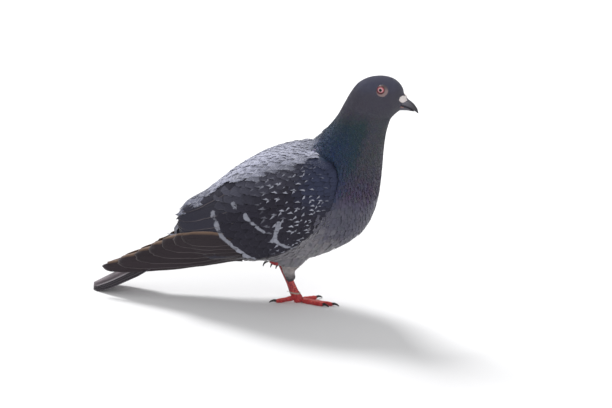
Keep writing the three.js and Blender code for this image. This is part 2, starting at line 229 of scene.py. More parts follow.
COAT_DEPTH = 0.17  # of a feather's length, from the tips of the coat down to the skin
FLESH = ("trunk", "neck", "head", "thigh_left", "wing_left", "wing_right")
skin = closed_form("skin", (*FLESH, "eye_left", "eye_right"), 1.2 * MM, smoothing=4)
bare = corners_of(skin.data)
sunk = bare - outward_of(skin.data) * (COAT_DEPTH * feather_length(bare) + 0.3 * MM)[:, None]
wings = solid_tree("wing_left", "wing_right")
QUILL_DEPTH = 5 * MM  # of the skin under the flight feathers and the wing's edges, seen from the side
COVERT_DEPTH = 0.3  # of that depth, under the coverts
WINGS_END = 48 * MM  # no wing reaches further forward
WING_EDGE = 5 * MM  # a place this near the lower or the front edge of a wing counts as its edge


def wing_face(x, z, out):
    """The outer face of a wing at a place seen from the side, or None beside the wing."""
    return wings.ray_cast(Vector((x, out * 0.2, z)), Vector((0, -out, 0)))[0]


for i in np.nonzero(bare[:, 0] < WINGS_END)[0]:
    place = sunk[i]
    x, out = place[0], math.copysign(1, place[1])
    for rise in (0, 2, 4, -2, -4):
        height = place[2] + rise * MM
        found = wing_face(x, height, out)
        if found:
            at_edge = not wing_face(x, height - WING_EDGE, out) or not wing_face(x + WING_EDGE, height, out)
            to_rear = float(ramp(x, -26 * MM, -41 * MM))
            share = 1 if at_edge else COVERT_DEPTH + (1 - COVERT_DEPTH) * to_rear
            reach = max(abs(found.y) - QUILL_DEPTH * share, 0)
            if abs(place[1]) > reach:
                place[1:] = out * reach, height
            break
skin.data.vertices.foreach_set("co", sunk.ravel())


def tinted(mesh, colour):
    """Gives a mesh one linear colour for each vertex, in an attribute named tint."""
    layer = mesh.color_attributes.new("tint", "FLOAT_COLOR", "POINT")
    full = np.ones((len(colour), 4), np.float32)
    full[:, :3] = colour
    layer.data.foreach_set("color", full.ravel())


def new_material(name):
    """A new material, its node tree and its main shader."""
    made = bpy.data.materials.new(name)
    made.use_nodes = True
    return made, made.node_tree, made.node_tree.nodes["Principled BSDF"]


def wired(tree, kind, *values, **settings):
    """A new node of a kind, with its settings, whose inputs take these values or links in order."""
    node = tree.nodes.new(kind)
    for key, value in settings.items():
        setattr(node, key, value)
    for socket, value in zip(node.inputs, values):
        if isinstance(value, bpy.types.NodeSocket):
            tree.links.new(value, socket)
        elif value is not None:
            socket.default_value = value
    return node


def spread(tree, value, low, high, start=0.0, end=1.0):
    """A value's place between low and high, as a smooth change from start to end."""
    node = wired(tree, "ShaderNodeMapRange", value, low, high, start, end, interpolation_type="SMOOTHSTEP")
    return node.outputs[0]


def blended(tree, share, first, second, mode="MIX"):
    """Two colours blended by a share."""
    node = tree.nodes.new("ShaderNodeMix")
    node.data_type = "RGBA"
    node.blend_type = mode
    for socket, value in (("Factor_Float", share), ("A_Color", first), ("B_Color", second)):
        target = next(s for s in node.inputs if s.identifier == socket)
        if isinstance(value, bpy.types.NodeSocket):
            tree.links.new(value, target)
        else:
            target.default_value = value if socket == "Factor_Float" else (*value, 1)
    return next(s for s in node.outputs if s.identifier == "Result_Color")


def dimmed(tree, colour, light):
    """A colour times a factor."""
    even = wired(tree, "ShaderNodeCombineColor", light, light, light).outputs[0]
    return blended(tree, 1.0, colour, even, "MULTIPLY")


def own_place(tree):
    """Places in the model's own frame, which a pattern stays fixed to."""
    return tree.nodes.new("ShaderNodeTexCoord").outputs["Object"]


def coarse_noise(tree, scale, detail=3.0):
    """Noise that is fixed in the model, by its size in features per metre."""
    node = wired(tree, "ShaderNodeTexNoise", own_place(tree))
    node.inputs["Scale"].default_value = scale
    node.inputs["Detail"].default_value = detail
    return node.outputs["Fac"]


def relief(tree, shader, height, depth, strength=1.0):
    """Raises and sinks a surface by a height, in metres, where the shader lights it."""
    node = tree.nodes.new("ShaderNodeBump")
    node.inputs["Strength"].default_value = strength
    node.inputs["Distance"].default_value = depth
    tree.links.new(height, node.inputs["Height"])
    tree.links.new(node.outputs[0], shader.inputs["Normal"])


def painted(tree, shader, colour, **settings):
    """Gives a shader its colour, and sets others of its inputs by their names."""
    tree.links.new(colour, shader.inputs["Base Color"])
    for key, value in settings.items():
        shader.inputs[key.replace("_", " ")].default_value = value


def on_bird(piece, slot, *replaced):
    """Fixes a finished piece to the bird, in place of these nodes. The slot is not used."""
    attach(piece, "root")
    if replaced:
        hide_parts(*replaced)


down, tree, shader = new_material("skin_and_down")
tint = wired(tree, "ShaderNodeAttribute", attribute_name="tint").outputs["Color"]
fluff = coarse_noise(tree, 900, 5)
painted(tree, shader, dimmed(tree, tint, spread(tree, fluff, 0.3, 0.7, 0.55, 0.95)), Roughness=0.9)
relief(tree, shader, fluff, 0.4 * MM)
skin.data.materials.append(down)
tinted(skin.data, plumage(sunk))
on_bird(skin, "body_feathers", *FLESH)


# ---- Body feathers ----
# Some thousands of contour feathers, each a thin curved vane that is rooted in the skin. They overlap like
# shingles and lie from the bill to the tail: smallest on the face, larger on the breast, belly and back.
TAU = 2 * math.pi


def smoothed(grid, closed, times):
    """A grid of places, evened out along both of its directions."""
    for _ in range(times):
        ends = np.concatenate((grid[:1], grid, grid[-1:]))
        grid = (ends[:-2] + 2 * grid + ends[2:]) / 4
        if closed:
            grid = (np.roll(grid, 1, 1) + 2 * grid + np.roll(grid, -1, 1)) / 4
        else:
            ends = np.concatenate((grid[:, :1], grid, grid[:, -1:]), 1)
            grid = (ends[:, :-2] + 2 * grid + ends[:, 2:]) / 4
    return grid


def through(points, count):
    """Rows of numbers along a smooth curve that passes through all the given rows."""
    given = np.array(points, float)
    held = np.concatenate((2 * given[:1] - given[1:2], given, 2 * given[-1:] - given[-2:-1]))
    place = np.linspace(0, len(given) - 1, count)
    i = np.minimum(place.astype(int), len(given) - 2)
    t = (place - i)[:, None]
    a, b, c, d = held[i], held[i + 1], held[i + 2], held[i + 3]
    return 0.5 * (2 * b + (c - a) * t + (2 * a - 5 * b + 4 * c - d) * t**2 + (3 * b - a - 3 * c + d) * t**3)


def tree_of(piece):
    """The faces of a piece, for rays to hit."""
    return BVHTree.FromObject(piece, bpy.context.evaluated_depsgraph_get())


def limb_lattice(hit, middles, ups, sides, turns=96, even=3, outside=False):
    """A grid of places on a round form, with the direction out at each. Rays find them, from its middle line
    or, from outside, towards it."""
    rows = len(middles)
    grid = np.zeros((rows, turns, 3))
    for row in range(rows):
        for turn in range(turns):
            angle = turn / turns * TAU
            way = ups[row] * math.cos(angle) + sides[row] * math.sin(angle)
            if outside:
                found = hit.ray_cast(Vector(middles[row] + way * 90 * MM), Vector(-way))[0]
            else:
                found = hit.ray_cast(Vector(middles[row]), Vector(way))[0]
            grid[row, turn] = found if found else (grid[row - 1, turn] if row else middles[row])
    grid = smoothed(grid, True, even)
    across = np.roll(grid, -1, 1) - np.roll(grid, 1, 1)
    along = np.gradient(grid, axis=0)
    out = np.cross(-across, along)
    return grid, out / np.maximum(np.linalg.norm(out, axis=2, keepdims=True), 1e-12)


def on_lattice(grid, s, turn):
    """The grid's value at a share of its length and at an angle. It runs straight on beyond its two ends."""
    rows, turns = grid.shape[:2]
    a = s * (rows - 1)
    i = np.clip(np.floor(a).astype(int), 0, rows - 2)
    b = (turn / TAU % 1) * turns
    j = np.floor(b).astype(int) % turns
    k = (j + 1) % turns
    fa, fb = (a - i)[..., None], (b - np.floor(b))[..., None]
    near = grid[i, j] * (1 - fb) + grid[i, k] * fb
    far = grid[i + 1, j] * (1 - fb) + grid[i + 1, k] * fb
    return near * (1 - fa) + far * fa


def scattered(grid, spacing, seed):
    """Roots over a lattice, no two closer than the spacing there, as shares of its length and angles."""
    rng = np.random.default_rng(seed)
    rows, turns = grid.shape[:2]
    cells = np.linalg.norm(np.cross(np.roll(grid, -1, 1) - grid, np.gradient(grid, axis=0)), axis=2)
    wanted = (cells / spacing**2)[:-1]
    count = int(wanted.sum() * 6)
    chosen = rng.choice(wanted.size, count, p=(wanted / wanted.sum()).ravel())
    s = (chosen // turns + rng.random(count)) / (rows - 1)
    turn = (chosen % turns + rng.random(count)) / turns * TAU
    at = on_lattice(grid, s, turn)
    reach = on_lattice(spacing[..., None], s, turn)[:, 0]
    near = KDTree(count)
    for i, place in enumerate(at):
        near.insert(place, i)
    near.balance()
    taken = np.zeros(count, bool)
    kept = []
    for i in range(count):
        if not taken[i]:
            kept.append(i)
            for _, other, _ in near.find_range(at[i], reach[i]):
                taken[other] = True
    return s[kept], turn[kept]


class Vane:
    """The flat pattern of a vane: a grid from its root to its tip, and the faces that every copy shares."""

    def __init__(self, columns, rows):
        sheet = bmesh.new()
        bmesh.ops.create_grid(sheet, x_segments=columns, y_segments=rows, size=1)
        self.across = np.array([vert.co.x for vert in sheet.verts])
        self.along = np.array([vert.co.y / 2 + 0.5 for vert in sheet.verts])
        self.faces = np.array([[vert.index for vert in face.verts] for face in sheet.faces])
        sheet.free()

    def outline(self, shape):
        """Where the pattern's corners lie across, in half widths, and along, in lengths.
        A shape is its width at the root, its widest place, its width at the tip, and how round the tip is."""
        root, fullest, tip, roundness = shape
        places = (0, fullest * 0.5, fullest, 0.86, 1)
        width = np.interp(self.along, places, (root, 0.5 + root / 2, 1, 0.93, tip))
        drawn_back = roundness * self.across**2 * ramp(self.along, 0.45, 1)
        return self.across * width, self.along - drawn_back


def joined_vanes(name, slot, vane, at, spots, tint, marks, material, patch=3 * MM, replaced=()):
    """Copies of a vane as one piece of the bird. at gives the corners of every copy, and spots its place on
    the map that its colours are kept on, where it is a small patch of its own."""
    count, corners = at.shape[:2]
    mesh = bpy.data.meshes.new(name)
    mesh.vertices.add(count * corners)
    mesh.vertices.foreach_set("co", at.astype(np.float32).ravel())
    faces = (vane.faces[None] + (np.arange(count) * corners)[:, None, None]).reshape(-1, 4)
    mesh.loops.add(faces.size)
    mesh.loops.foreach_set("vertex_index", faces.astype(np.int32).ravel())
    mesh.polygons.add(len(faces))
    mesh.polygons.foreach_set("loop_start", np.arange(0, faces.size, 4, dtype=np.int32))
    mesh.update(calc_edges=True)
    flat = np.stack((vane.across / 2 + 0.5, vane.along), 1)
    own = np.broadcast_to(flat, (count, corners, 2))
    for map_name, places in (("vane", own), ("OFBake", spots[:, None] + (flat - 0.5) * patch)):
        of_faces = places.reshape(-1, 2)[faces.ravel()]
        mesh.uv_layers.new(name=map_name).uv.foreach_set("vector", of_faces.astype(np.float32).ravel())
    tinted(mesh, np.broadcast_to(tint if tint.ndim == 3 else tint[:, None], at.shape).reshape(-1, 3))
    layer = mesh.attributes.new("marks", "FLOAT_VECTOR", "POINT")
    full = np.broadcast_to(marks if marks.ndim == 3 else marks[:, None], at.shape)
    layer.data.foreach_set("vector", full.astype(np.float32).ravel())
    mesh.shade_smooth()
    mesh.materials.append(material)
    piece = bpy.data.objects.new(name, mesh)
    scene.collection.objects.link(piece)
    on_bird(piece, slot, *replaced)
    return piece


def plain_marks(rng, count):
    """Marks of vanes with no fleck and no pale band: only a number by chance for each."""
    return np.stack((np.zeros(count), np.zeros(count), rng.random(count)), 1)


def lattice_spots(s, turn):
    """Spots on the map of colours for the vanes that are rooted in a lattice."""
    return np.stack((0.02 + 0.96 * turn / TAU, 0.02 + 0.96 * s), 1)


def laid(vane, shape, lattice, s, turn, length, width, yaw, root_depth, tip_lift, droop, rng, frayed=1.0):
    """Vanes laid back over a lattice from their roots. Each dips into the coat at its root, and its sides
    droop."""
    grid, out = lattice
    step = 1e-3
    steps = ((step, 0), (0, step))
    spans = [on_lattice(grid, s + ds, turn + dt) - on_lattice(grid, s - ds, turn - dt) for ds, dt in steps]
    along, around = (np.linalg.norm(span, axis=1) / (2 * step) for span in spans)
    along, around = np.maximum(along, MM), np.maximum(around, 0.1 * MM)
    x, y = vane.outline(shape)
    count = len(s)
    yaw = yaw[:, None]
    edge = np.abs(vane.across) ** 3
    x = x * (1 + 0.16 * frayed * edge * rng.uniform(-1, 1, (count, len(x)))) * width[:, None] / 2
    y = (y + 0.05 * frayed * ramp(vane.along, 0.6, 1) * rng.uniform(-1, 1, (count, len(y)))) * length[:, None]
    back = y * np.cos(yaw) + x * np.sin(yaw)
    aside = x * np.cos(yaw) - y * np.sin(yaw)
    at_s = s[:, None] - back / along[:, None]
    at_turn = turn[:, None] + aside / around[:, None]
    height = -root_depth[:, None] * (1 - vane.along) ** 1.2 + tip_lift[:, None] * vane.along**2
    height = height - droop * vane.across**2 * width[:, None]
    return on_lattice(grid, at_s, at_turn) + on_lattice(out, at_s, at_turn) * height[..., None]


def calc(tree, operation, *values):
    """The result of one sum."""
    return wired(tree, "ShaderNodeMath", *values, operation=operation).outputs[0]


def times(tree, first, *others):
    """The product of some values."""
    for other in others:
        first = calc(tree, "MULTIPLY", first, other)
    return first


def apart(tree, numbers):
    """The three numbers of a place."""
    return wired(tree, "ShaderNodeSeparateXYZ", numbers).outputs


FLECK_PALE = srgb(172, 174, 188)
BAND_PALE = srgb(142, 144, 156)


def vane_material(
    name, roughness, barbs, metallic=0.0, sheen=0.15, shaft=0.25, fringe=0.0, fringe_colour=(0.4, 0.4, 0.4),
    shade=0.86, ridges=0.09 * MM, side_rim=0.84, tip_rim=0.93,
):
    """Feather: the colour of its tint, with a shaft, slanting barbs, a worn fringe and pale marks. Its root
    is darker by the shade."""
    made, tree, shader = new_material(name)
    tint = wired(tree, "ShaderNodeAttribute", attribute_name="tint").outputs["Color"]
    marks = wired(tree, "ShaderNodeAttribute", attribute_name="marks").outputs["Vector"]
    fleck, band, chance = apart(tree, marks)
    across, along, _ = apart(tree, wired(tree, "ShaderNodeUVMap", uv_map="vane").outputs[0])
    aside = times(tree, calc(tree, "ABSOLUTE", calc(tree, "SUBTRACT", across, 0.5)), 2.0)
    slant = calc(tree, "SUBTRACT", times(tree, along, barbs), times(tree, aside, barbs * 0.35))
    uneven = coarse_noise(tree, 700)
    ragged = calc(tree, "ADD", slant, times(tree, uneven, 1.2))
    barb = calc(tree, "MULTIPLY_ADD", calc(tree, "SINE", times(tree, ragged, TAU)), 0.5, 0.5)
    rib = times(tree, spread(tree, aside, 0.02, 0.1, 1, 0), spread(tree, along, 0.8, 1, 1, 0))
    side, tip = spread(tree, aside, side_rim, 0.97), spread(tree, along, tip_rim, 0.995)
    rim = calc(tree, "MAXIMUM", side, tip)

    frayed = calc(tree, "MULTIPLY_ADD", uneven, 0.24, -0.12)
    outer = calc(tree, "ADD", aside, frayed)
    lengthwise = calc(tree, "ADD", along, frayed)
    on_right = calc(tree, "GREATER_THAN", across, 0.5)
    right, left = spread(tree, chance, 0.34, 0.38), spread(tree, chance, 0.66, 0.62)
    one_side = calc(tree, "ADD", left, times(tree, on_right, calc(tree, "SUBTRACT", right, left)))
    spot = times(
        tree, spread(tree, outer, 0.3, 0.42), spread(tree, outer, 0.96, 0.8),
        spread(tree, lengthwise, 0.72, 0.8), spread(tree, lengthwise, 0.98, 0.92), one_side, fleck,
    )
    colour = blended(tree, spot, tint, FLECK_PALE)
    blotched = calc(tree, "MULTIPLY_ADD", coarse_noise(tree, 130, 2), 1.1, calc(tree, "ADD", band, frayed))
    colour = blended(tree, spread(tree, blotched, 1.06, 1.26), colour, BAND_PALE)
    colour = blended(tree, times(tree, rim, fringe), colour, fringe_colour)
    light = calc(tree, "MULTIPLY_ADD", chance, 0.12, 0.92)
    light = calc(tree, "MULTIPLY_ADD", barb, 0.08, light)
    light = calc(tree, "MULTIPLY_ADD", coarse_noise(tree, 260), 0.12, calc(tree, "SUBTRACT", light, 0.06))
    light = calc(tree, "SUBTRACT", light, times(tree, rib, shaft))
    # Painted shade: darker towards the root, where the feathers over it overlap it.
    light = times(tree, light, spread(tree, along, 0.1, 0.75, shade, 1))
    painted(
        tree, shader, dimmed(tree, colour, light), Roughness=roughness, Metallic=metallic, Sheen_Weight=sheen,
        Sheen_Roughness=0.35, Specular_IOR_Level=0.16,
    )
    relief(tree, shader, calc(tree, "MULTIPLY_ADD", rib, 1.5, barb), ridges, 0.8)
    return made


# Middle line of the body from the rump to the bill, with the lean of each section, in mm and degrees.
SPINE = (
    (-110.5, 64.5, 13),
    (-62, 78, 6),
    (-4.5, 92, -7),
    (38.5, 115, -25),
    (53.5, 148, -39),
    (61, 179, -53),
    (69.5, 196, -43),
    (81, 202, -19),
    (90.5, 201.5, -1),
    (95.6, 198.5, 8),
)
spine = through(SPINE, 260)
middles = np.stack((spine[:, 0] * MM, 0 * spine[:, 0], spine[:, 1] * MM), 1)
lean = np.radians(spine[:, 2])
ups = np.stack((np.sin(lean), 0 * lean, np.cos(lean)), 1)
sides = np.tile((0.0, 1.0, 0.0), (len(spine), 1))
RIGHT_TOES = ("toe_right_inner", "toe_right_middle", "toe_right_outer")
CORE = ("trunk", "neck", "head", "eye_left", "eye_right")
whole_body = closed_form("whole_body", (*CORE, *RIGHT_TOES), 0.9 * MM)
body = limb_lattice(tree_of(whole_body), middles, ups, sides, 144)
DRAWN_FOOT = np.array((-6, -11, 38.4)) * MM  # the lowest place of the toes that are drawn up into the belly
beside = (body[0] - DRAWN_FOOT) / (np.array((15, 11, 1)) * MM)
bulge = ramp(np.hypot(beside[..., 0], beside[..., 1]), 1.2, 0.55) * (body[0][..., 2] < 56 * MM)
body[0][..., 2] += (np.minimum(body[0][..., 2], DRAWN_FOOT[2]) - body[0][..., 2]) * bulge
side_forms = solid_tree("wing_left", "wing_right", "wing_tip_left", "wing_tip_right")
EYE_RAISED = Vector((0.3, 0, 0.8)) * MM  # the lids draw the eye up a little in its socket
EYE_FORWARD = 0.8 * MM  # out of the head, of the ball's middle
EYE = {}


def middle_of(node):
    """The middle of a node's box."""
    low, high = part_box(node)
    return (Vector(low) + Vector(high)) / 2


for side, out in (("left", 1), ("right", -1)):
    EYE[side] = middle_of(f"eye_{side}") + EYE_RAISED
    EYE[side].y += out * EYE_FORWARD
EYE_PATCH = Vector((1.7, 0, -0.9)) * MM  # from the middle of the eye to that of the bare skin round it
EYE_PATCH_RADIUS = 4.05 * MM


def feathered(at, out):
    """True where the body's feathers show: not under a folded wing, on the end of a toe or round an eye."""
    shown = np.ones(len(at), bool)
    for i, (place, way) in enumerate(zip(at, out)):
        reach = (45 if place[0] > -76 * MM else 7) * MM  # the wing tips stand clear of the rump and tail
        shown[i] = side_forms.ray_cast(Vector(place + way * 0.2 * MM), Vector(way), reach)[0] is None
    for eye in EYE.values():
        off = at - np.array(eye + EYE_PATCH)
        beside = np.hypot(off[:, 0], off[:, 2]) < EYE_PATCH_RADIUS
        shown &= ~(beside & (at[:, 1] * eye.y > 0))
    toe_ends = (at > np.array((-28, -21, 0)) * MM) & (at < np.array((-11, -4, 43.5)) * MM)
    return shown & ~toe_ends.all(axis=1)


small_vane = Vane(4, 5)
face_vane = Vane(3, 5)
spacing = feather_length(body[0]) * np.interp(up_the_neck(body[0]), (0.7, 0.9), (0.29, 0.265))
roots_s, roots_turn = scattered(body[0], spacing, 11)
root_at = on_lattice(body[0], roots_s, roots_turn)
seen = feathered(root_at, on_lattice(body[1], roots_s, roots_turn))
roots_s, roots_turn, root_at = roots_s[seen], roots_turn[seen], root_at[seen]
rise = up_the_neck(root_at)
plain_vane = vane_material("contour_feather", 0.72, 9, sheen=0.45, shaft=0.04, shade=0.93, ridges=0.04 * MM)
glossy_vane = vane_material(
    "glossy_neck_feather", 0.42, 8, metallic=0.2, sheen=0.15, shaft=0.1, shade=0.8, ridges=0.05 * MM
)
# Where the feathers of each region grow, their outline and their width in lengths, and how mottled and how
# frayed they are.
NECK_TOP = 0.86
on_neck = (rise > 0.02) & (rise <= NECK_TOP) & (root_at[:, 0] > 18 * MM)
on_head = rise > NECK_TOP
REGIONS = (
    ("head_feathers", on_head, face_vane, (0.6, 0.4, 0.3, 0.3), 0.64, plain_vane, 0.04, 0.35),
    ("neck_feathers", on_neck, small_vane, (0.6, 0.45, 0.3, 0.3), 0.7, glossy_vane, 0.13, 1.0),
    ("body_feathers", ~on_neck & ~on_head, small_vane, (0.6, 0.45, 0.5, 0.2), 0.8, plain_vane, 0.04, 1.0),
)
for name, chosen, vane, shape, width, material, mottled, frayed in REGIONS:
    rng = np.random.default_rng(len(name))
    s, turn, at = roots_s[chosen], roots_turn[chosen], root_at[chosen]
    count = len(s)
    length = feather_length(at) * rng.uniform(0.85, 1.15, count)
    shifted = at + rng.normal(0, 1, at.shape) * length[:, None] * 0.35
    tone = plumage(shifted) * (1 + rng.uniform(-1, 1, (count, 3)) * (1, 0.8, 0.9) * mottled)
    corners = laid(
        vane, shape, body, s, turn, length, length * width, rng.normal(0, 0.1, count), length * COAT_DEPTH,
        length * rng.uniform(0.0, 0.014, count), 0.02, rng, frayed,
    )
    joined_vanes(name, name, vane, corners, lattice_spots(s, turn), tone, plain_marks(rng, count), material)


# ---- Wing coverts ----
# Rows of overlapping coverts from the bend of the wing back to the flight feathers, each row larger than the
# one before it. They are dark, with pale chequers, and the tips of some rows join into broken pale bars.
class SideSheet:
    """The outer face of the left wing seen from the side: how far out it lies over a grid of x and z."""

    START = np.array((-192, 12)) * MM
    STEP = 1 * MM
    SHAPE = (246, 150)
    RUN_ON = 60  # steps, of the face beyond the solid's edges
    TOP_INSET = 1.5 * MM  # of the feathered edges from the solid's
    BOTTOM_INSET = 1.2 * MM

    def __init__(self, *parts):
        hit = solid_tree(*parts)
        far = np.full(self.SHAPE, np.nan)
        for i in range(self.SHAPE[0]):
            for j in range(self.SHAPE[1]):
                x, z = self.START + np.array((i, j)) * self.STEP
                found = hit.ray_cast(Vector((x, 0.2, z)), Vector((0, -1, 0)))[0]
                if found:
                    far[i, j] = found.y
        missing = np.isnan(far)
        solid = ~missing
        far[missing] = 0
        weight = solid.astype(float)
        for _ in range(self.RUN_ON):
            padded, counted = np.pad(far * weight, 1, mode="edge"), np.pad(weight, 1, mode="edge")
            total = padded[:-2, 1:-1] + padded[2:, 1:-1] + padded[1:-1, :-2] + padded[1:-1, 2:]
            number = counted[:-2, 1:-1] + counted[2:, 1:-1] + counted[1:-1, :-2] + counted[1:-1, 2:]
            new = missing & (number > 0)
            far[new] = total[new] / number[new]
            weight[new] = 1
        far[weight == 0] = far[weight > 0].mean()
        far = smoothed(far[..., None], False, 5)[..., 0]
        self.face = np.stack((far, *np.clip(np.gradient(far, self.STEP), -2.5, 2.5)), 2)
        heights = self.START[1] + np.arange(self.SHAPE[1]) * self.STEP
        on_wing = solid.any(1)
        self.columns = (self.START[0] + np.arange(self.SHAPE[0]) * self.STEP)[on_wing]
        self.top = np.where(solid, heights, 0).max(1)[on_wing] - self.TOP_INSET
        self.bottom = np.where(solid, heights, 1).min(1)[on_wing] + self.BOTTOM_INSET

    def sample(self, at):
        """How far out the face lies at these places, and how it slopes along x and z."""
        place = np.clip((at - self.START) / self.STEP, 0, np.array(self.SHAPE) - 1.001)
        i = place.astype(int)
        fx, fz = np.moveaxis((place - i)[..., None], -2, 0)
        near = self.face[i[..., 0], i[..., 1]] * (1 - fz) + self.face[i[..., 0], i[..., 1] + 1] * fz
        rear = self.face[i[..., 0] + 1, i[..., 1]] * (1 - fz) + self.face[i[..., 0] + 1, i[..., 1] + 1] * fz
        return np.moveaxis(near * (1 - fx) + rear * fx, -1, 0)

    def edges(self, x):
        """The heights of the wing's lower and upper edges along it."""
        return (np.interp(x, self.columns, edge) for edge in (self.bottom, self.top))

    def covers(self, at):
        """True where a place seen from the side is on the wing or just off its edge."""
        low, high = self.edges(at[:, 0])
        return (at[:, 1] > low - 4 * MM) & (at[:, 1] < high + 5 * MM)

    def lift(self, at, height, left):
        """Places over the sheet at a height above it, on the left or the right wing. Beyond the wing's upper
        and lower edges they lie inwards round it."""
        low, high = self.edges(at[..., 0])
        over, under = np.clip(at[..., 1] - high, 0, 14 * MM), np.maximum(low - at[..., 1], 0)
        at = np.stack((at[..., 0], np.clip(at[..., 1], low, high)), -1)
        far, slope_x, slope_z = self.sample(at)
        out = np.stack((-slope_x, np.ones(far.shape), -slope_z), -1)
        out /= np.linalg.norm(out, axis=-1, keepdims=True)
        found = np.stack((at[..., 0], far, at[..., 1]), -1) + out * height[..., None]
        found[..., 1] -= 0.9 * over + 0.85 * under
        found[..., 2] += 0.25 * over - 0.35 * under
        return found * np.array((1, 1 if left else -1, 1))


def side_vanes(vane, shape, sheet, left, roots, tips, half_width, bow, height, rng, frayed=0.03):
    """Vanes laid over a wing from their roots to their tips, seen from the side. height is above the wing's
    face."""
    x, y = vane.outline(shape)
    upward = -x if left else x
    way = tips - roots
    size = np.linalg.norm(way, axis=1)
    way = way / size[:, None]
    up = np.stack((way[:, 1], -way[:, 0]), 1)
    edge = np.abs(vane.across) ** 3
    count = len(roots)
    aside = upward * half_width[:, None] * (1 + frayed * 2 * edge * rng.uniform(-1, 1, (count, len(x))))
    aside = aside + bow[:, None] * 4 * vane.along * (1 - vane.along)
    along = (y + frayed * ramp(vane.along, 0.7, 1) * rng.uniform(-1, 1, (count, len(y)))) * size[:, None]
    at = roots[:, None] + way[:, None] * along[..., None] + up[:, None] * aside[..., None]
    return sheet.lift(at, height, left)


# Seen from the side, in mm: the bend of the wing from its top down, the tips of the greater coverts, and the
# middles of the pale bars.
WING_FRONT = ((8, 148), (32, 143), (43, 130), (40, 111), (29, 91), (17, 74), (8, 62))
COVERT_END = ((-76, 108), (-72, 91), (-64, 74), (-51, 61), (-38, 51), (-24, 48))
PALE_BARS = (
    ((-76, 91), (-66, 73), (-53, 63), (-33, 52)),
    ((-53.5, 101.5), (-52.5, 99.5)),
    ((-41, 93), (-32, 86), (-22, 81)),
    ((-7.5, 90.5), (-12.5, 74), (-6, 69), (5, 65)),
    ((-12.5, 74), (-14.5, 72.5)),
)
COVERT_ROWS = 14
NARROWEST, WIDER = 6.4, 7.2  # mm: a covert's width in the first row, and how much wider the last ones are
SHORTEST, LONGER = 12, 16  # mm: the same for its length
LINE_STEPS = 200
wing_dark = srgb(41, 39, 50)
shoulder_blue = srgb(52, 57, 80)
upper_slate = srgb(72, 72, 85)
wing_vane = vane_material(
    "wing_covert", 0.5, 20, sheen=0.05, shaft=0.12, fringe=0.2, fringe_colour=srgb(80, 80, 92)
)


def off_lines(at, lines):
    """How far these places are from the nearest of some lines, seen from the side."""
    best = np.full(at.shape[:-1], 99.0)
    for line in lines:
        for start, end in zip(line, line[1:]):
            a, way = np.array(start) * MM, (np.array(end) - np.array(start)) * MM
            share = np.clip(((at - a) @ way) / (way @ way), 0, 1)
            best = np.minimum(best, np.linalg.norm(at - a - share[..., None] * way, axis=-1))
    return best


def near_bars(at):
    """1 on the middle of a pale bar, falling evenly to 0 five millimetres off it."""
    return np.clip(1 - off_lines(at, PALE_BARS) / (5 * MM), 0, 1)


wing_sheet = SideSheet("wing_left")
front = through(WING_FRONT, LINE_STEPS) * MM
end = through(COVERT_END, LINE_STEPS) * MM
down_line = np.linspace(0, 1, LINE_STEPS)
exposed = np.linspace(0.6, 1.1, COVERT_ROWS)
row_share = np.cumsum(exposed) / exposed.sum()
covert_vane = Vane(8, 14)
for side in ("left", "right"):
    left = side == "left"
    rng = np.random.default_rng(31 + len(side))
    roots, tips, widths, cells, share_of = [], [], [], [], []
    for row, share in enumerate(row_share):
        line = front + (end - front) * share
        steps = np.linalg.norm(np.diff(line, axis=0), axis=1)
        far = np.concatenate(((0,), np.cumsum(steps)))
        width = (NARROWEST + WIDER * share) * MM
        number = int(far[-1] / (width * 0.6))
        for i in range(number):
            place = (i + 0.5 * (row % 2) + rng.uniform(0.1, 0.4)) / number
            t = np.interp(place * far[-1], far, down_line)
            tip = np.array([np.interp(t, down_line, line[:, k]) for k in (0, 1)])
            slope = math.radians(30 - 3 * t + rng.normal(0, 3))
            length = (SHORTEST + LONGER * share) * MM * rng.uniform(0.92, 1.08)
            tips.append(tip + rng.normal(0, 0.5, 2) * MM)
            roots.append(tips[-1] + np.array((math.cos(slope), math.sin(slope))) * length)
            widths.append(width * rng.uniform(0.9, 1.1))
            cells.append(((row + 0.5) / COVERT_ROWS, (i + 0.5) / (number + 1)))
            share_of.append((share, t))
    kept = wing_sheet.covers(np.array(tips))
    roots, tips, widths, cells = (np.array(v)[kept] for v in (roots, tips, widths, cells))
    share, t = np.array(share_of)[kept].T
    count = len(roots)
    along, across = covert_vane.along, covert_vane.across
    size = np.linalg.norm(tips - roots, axis=1)[:, None]
    height = -0.13 * size * (1 - along) ** 1.3 + 0.02 * size * along**2
    height = height - 0.05 * widths[:, None] * across**2 - 0.3 * MM * (-across if left else across)
    corners = side_vanes(
        covert_vane, (0.4, 0.5, 0.62, 0.2), wing_sheet, left, roots, tips, widths * 0.5,
        rng.normal(0, 0.3, count) * MM, height, rng,
    )
    x, z = tips.T
    on_shoulder = ramp(x, -10 * MM, 22 * MM) * ramp(z, 92 * MM, 124 * MM)
    near_top = ramp(t, 0.3, 0.05) * ramp(x, 20 * MM, -10 * MM)
    tone = np.broadcast_to(wing_dark, (count, 3)).copy()
    tone += (shoulder_blue - tone) * on_shoulder[:, None]
    tone += (upper_slate - tone) * near_top[:, None]
    tone = tone * rng.uniform(0.92, 1.08, (count, 1))
    chequer = (rng.random(count) < 0.85) * rng.uniform(0.6, 1.0, count)
    chequer = chequer * ramp(share, 0.04, 0.2) * ramp(share, 0.74, 0.5) * ramp(t, 0.03, 0.16)
    barred = near_bars(corners[..., (0, 2)])
    marks = np.zeros(corners.shape)
    marks[..., 0] = chequer[:, None]
    marks[..., 1] = barred * rng.uniform(0.84, 1.12, (count, 1)) * ramp(along, 0.35, 0.6)
    marks[..., 2] = rng.random((count, 1))
    joined_vanes(
        f"coverts_{side}", "wing_feathers", covert_vane, corners, cells, tone, marks, wing_vane, 26 * MM
    )

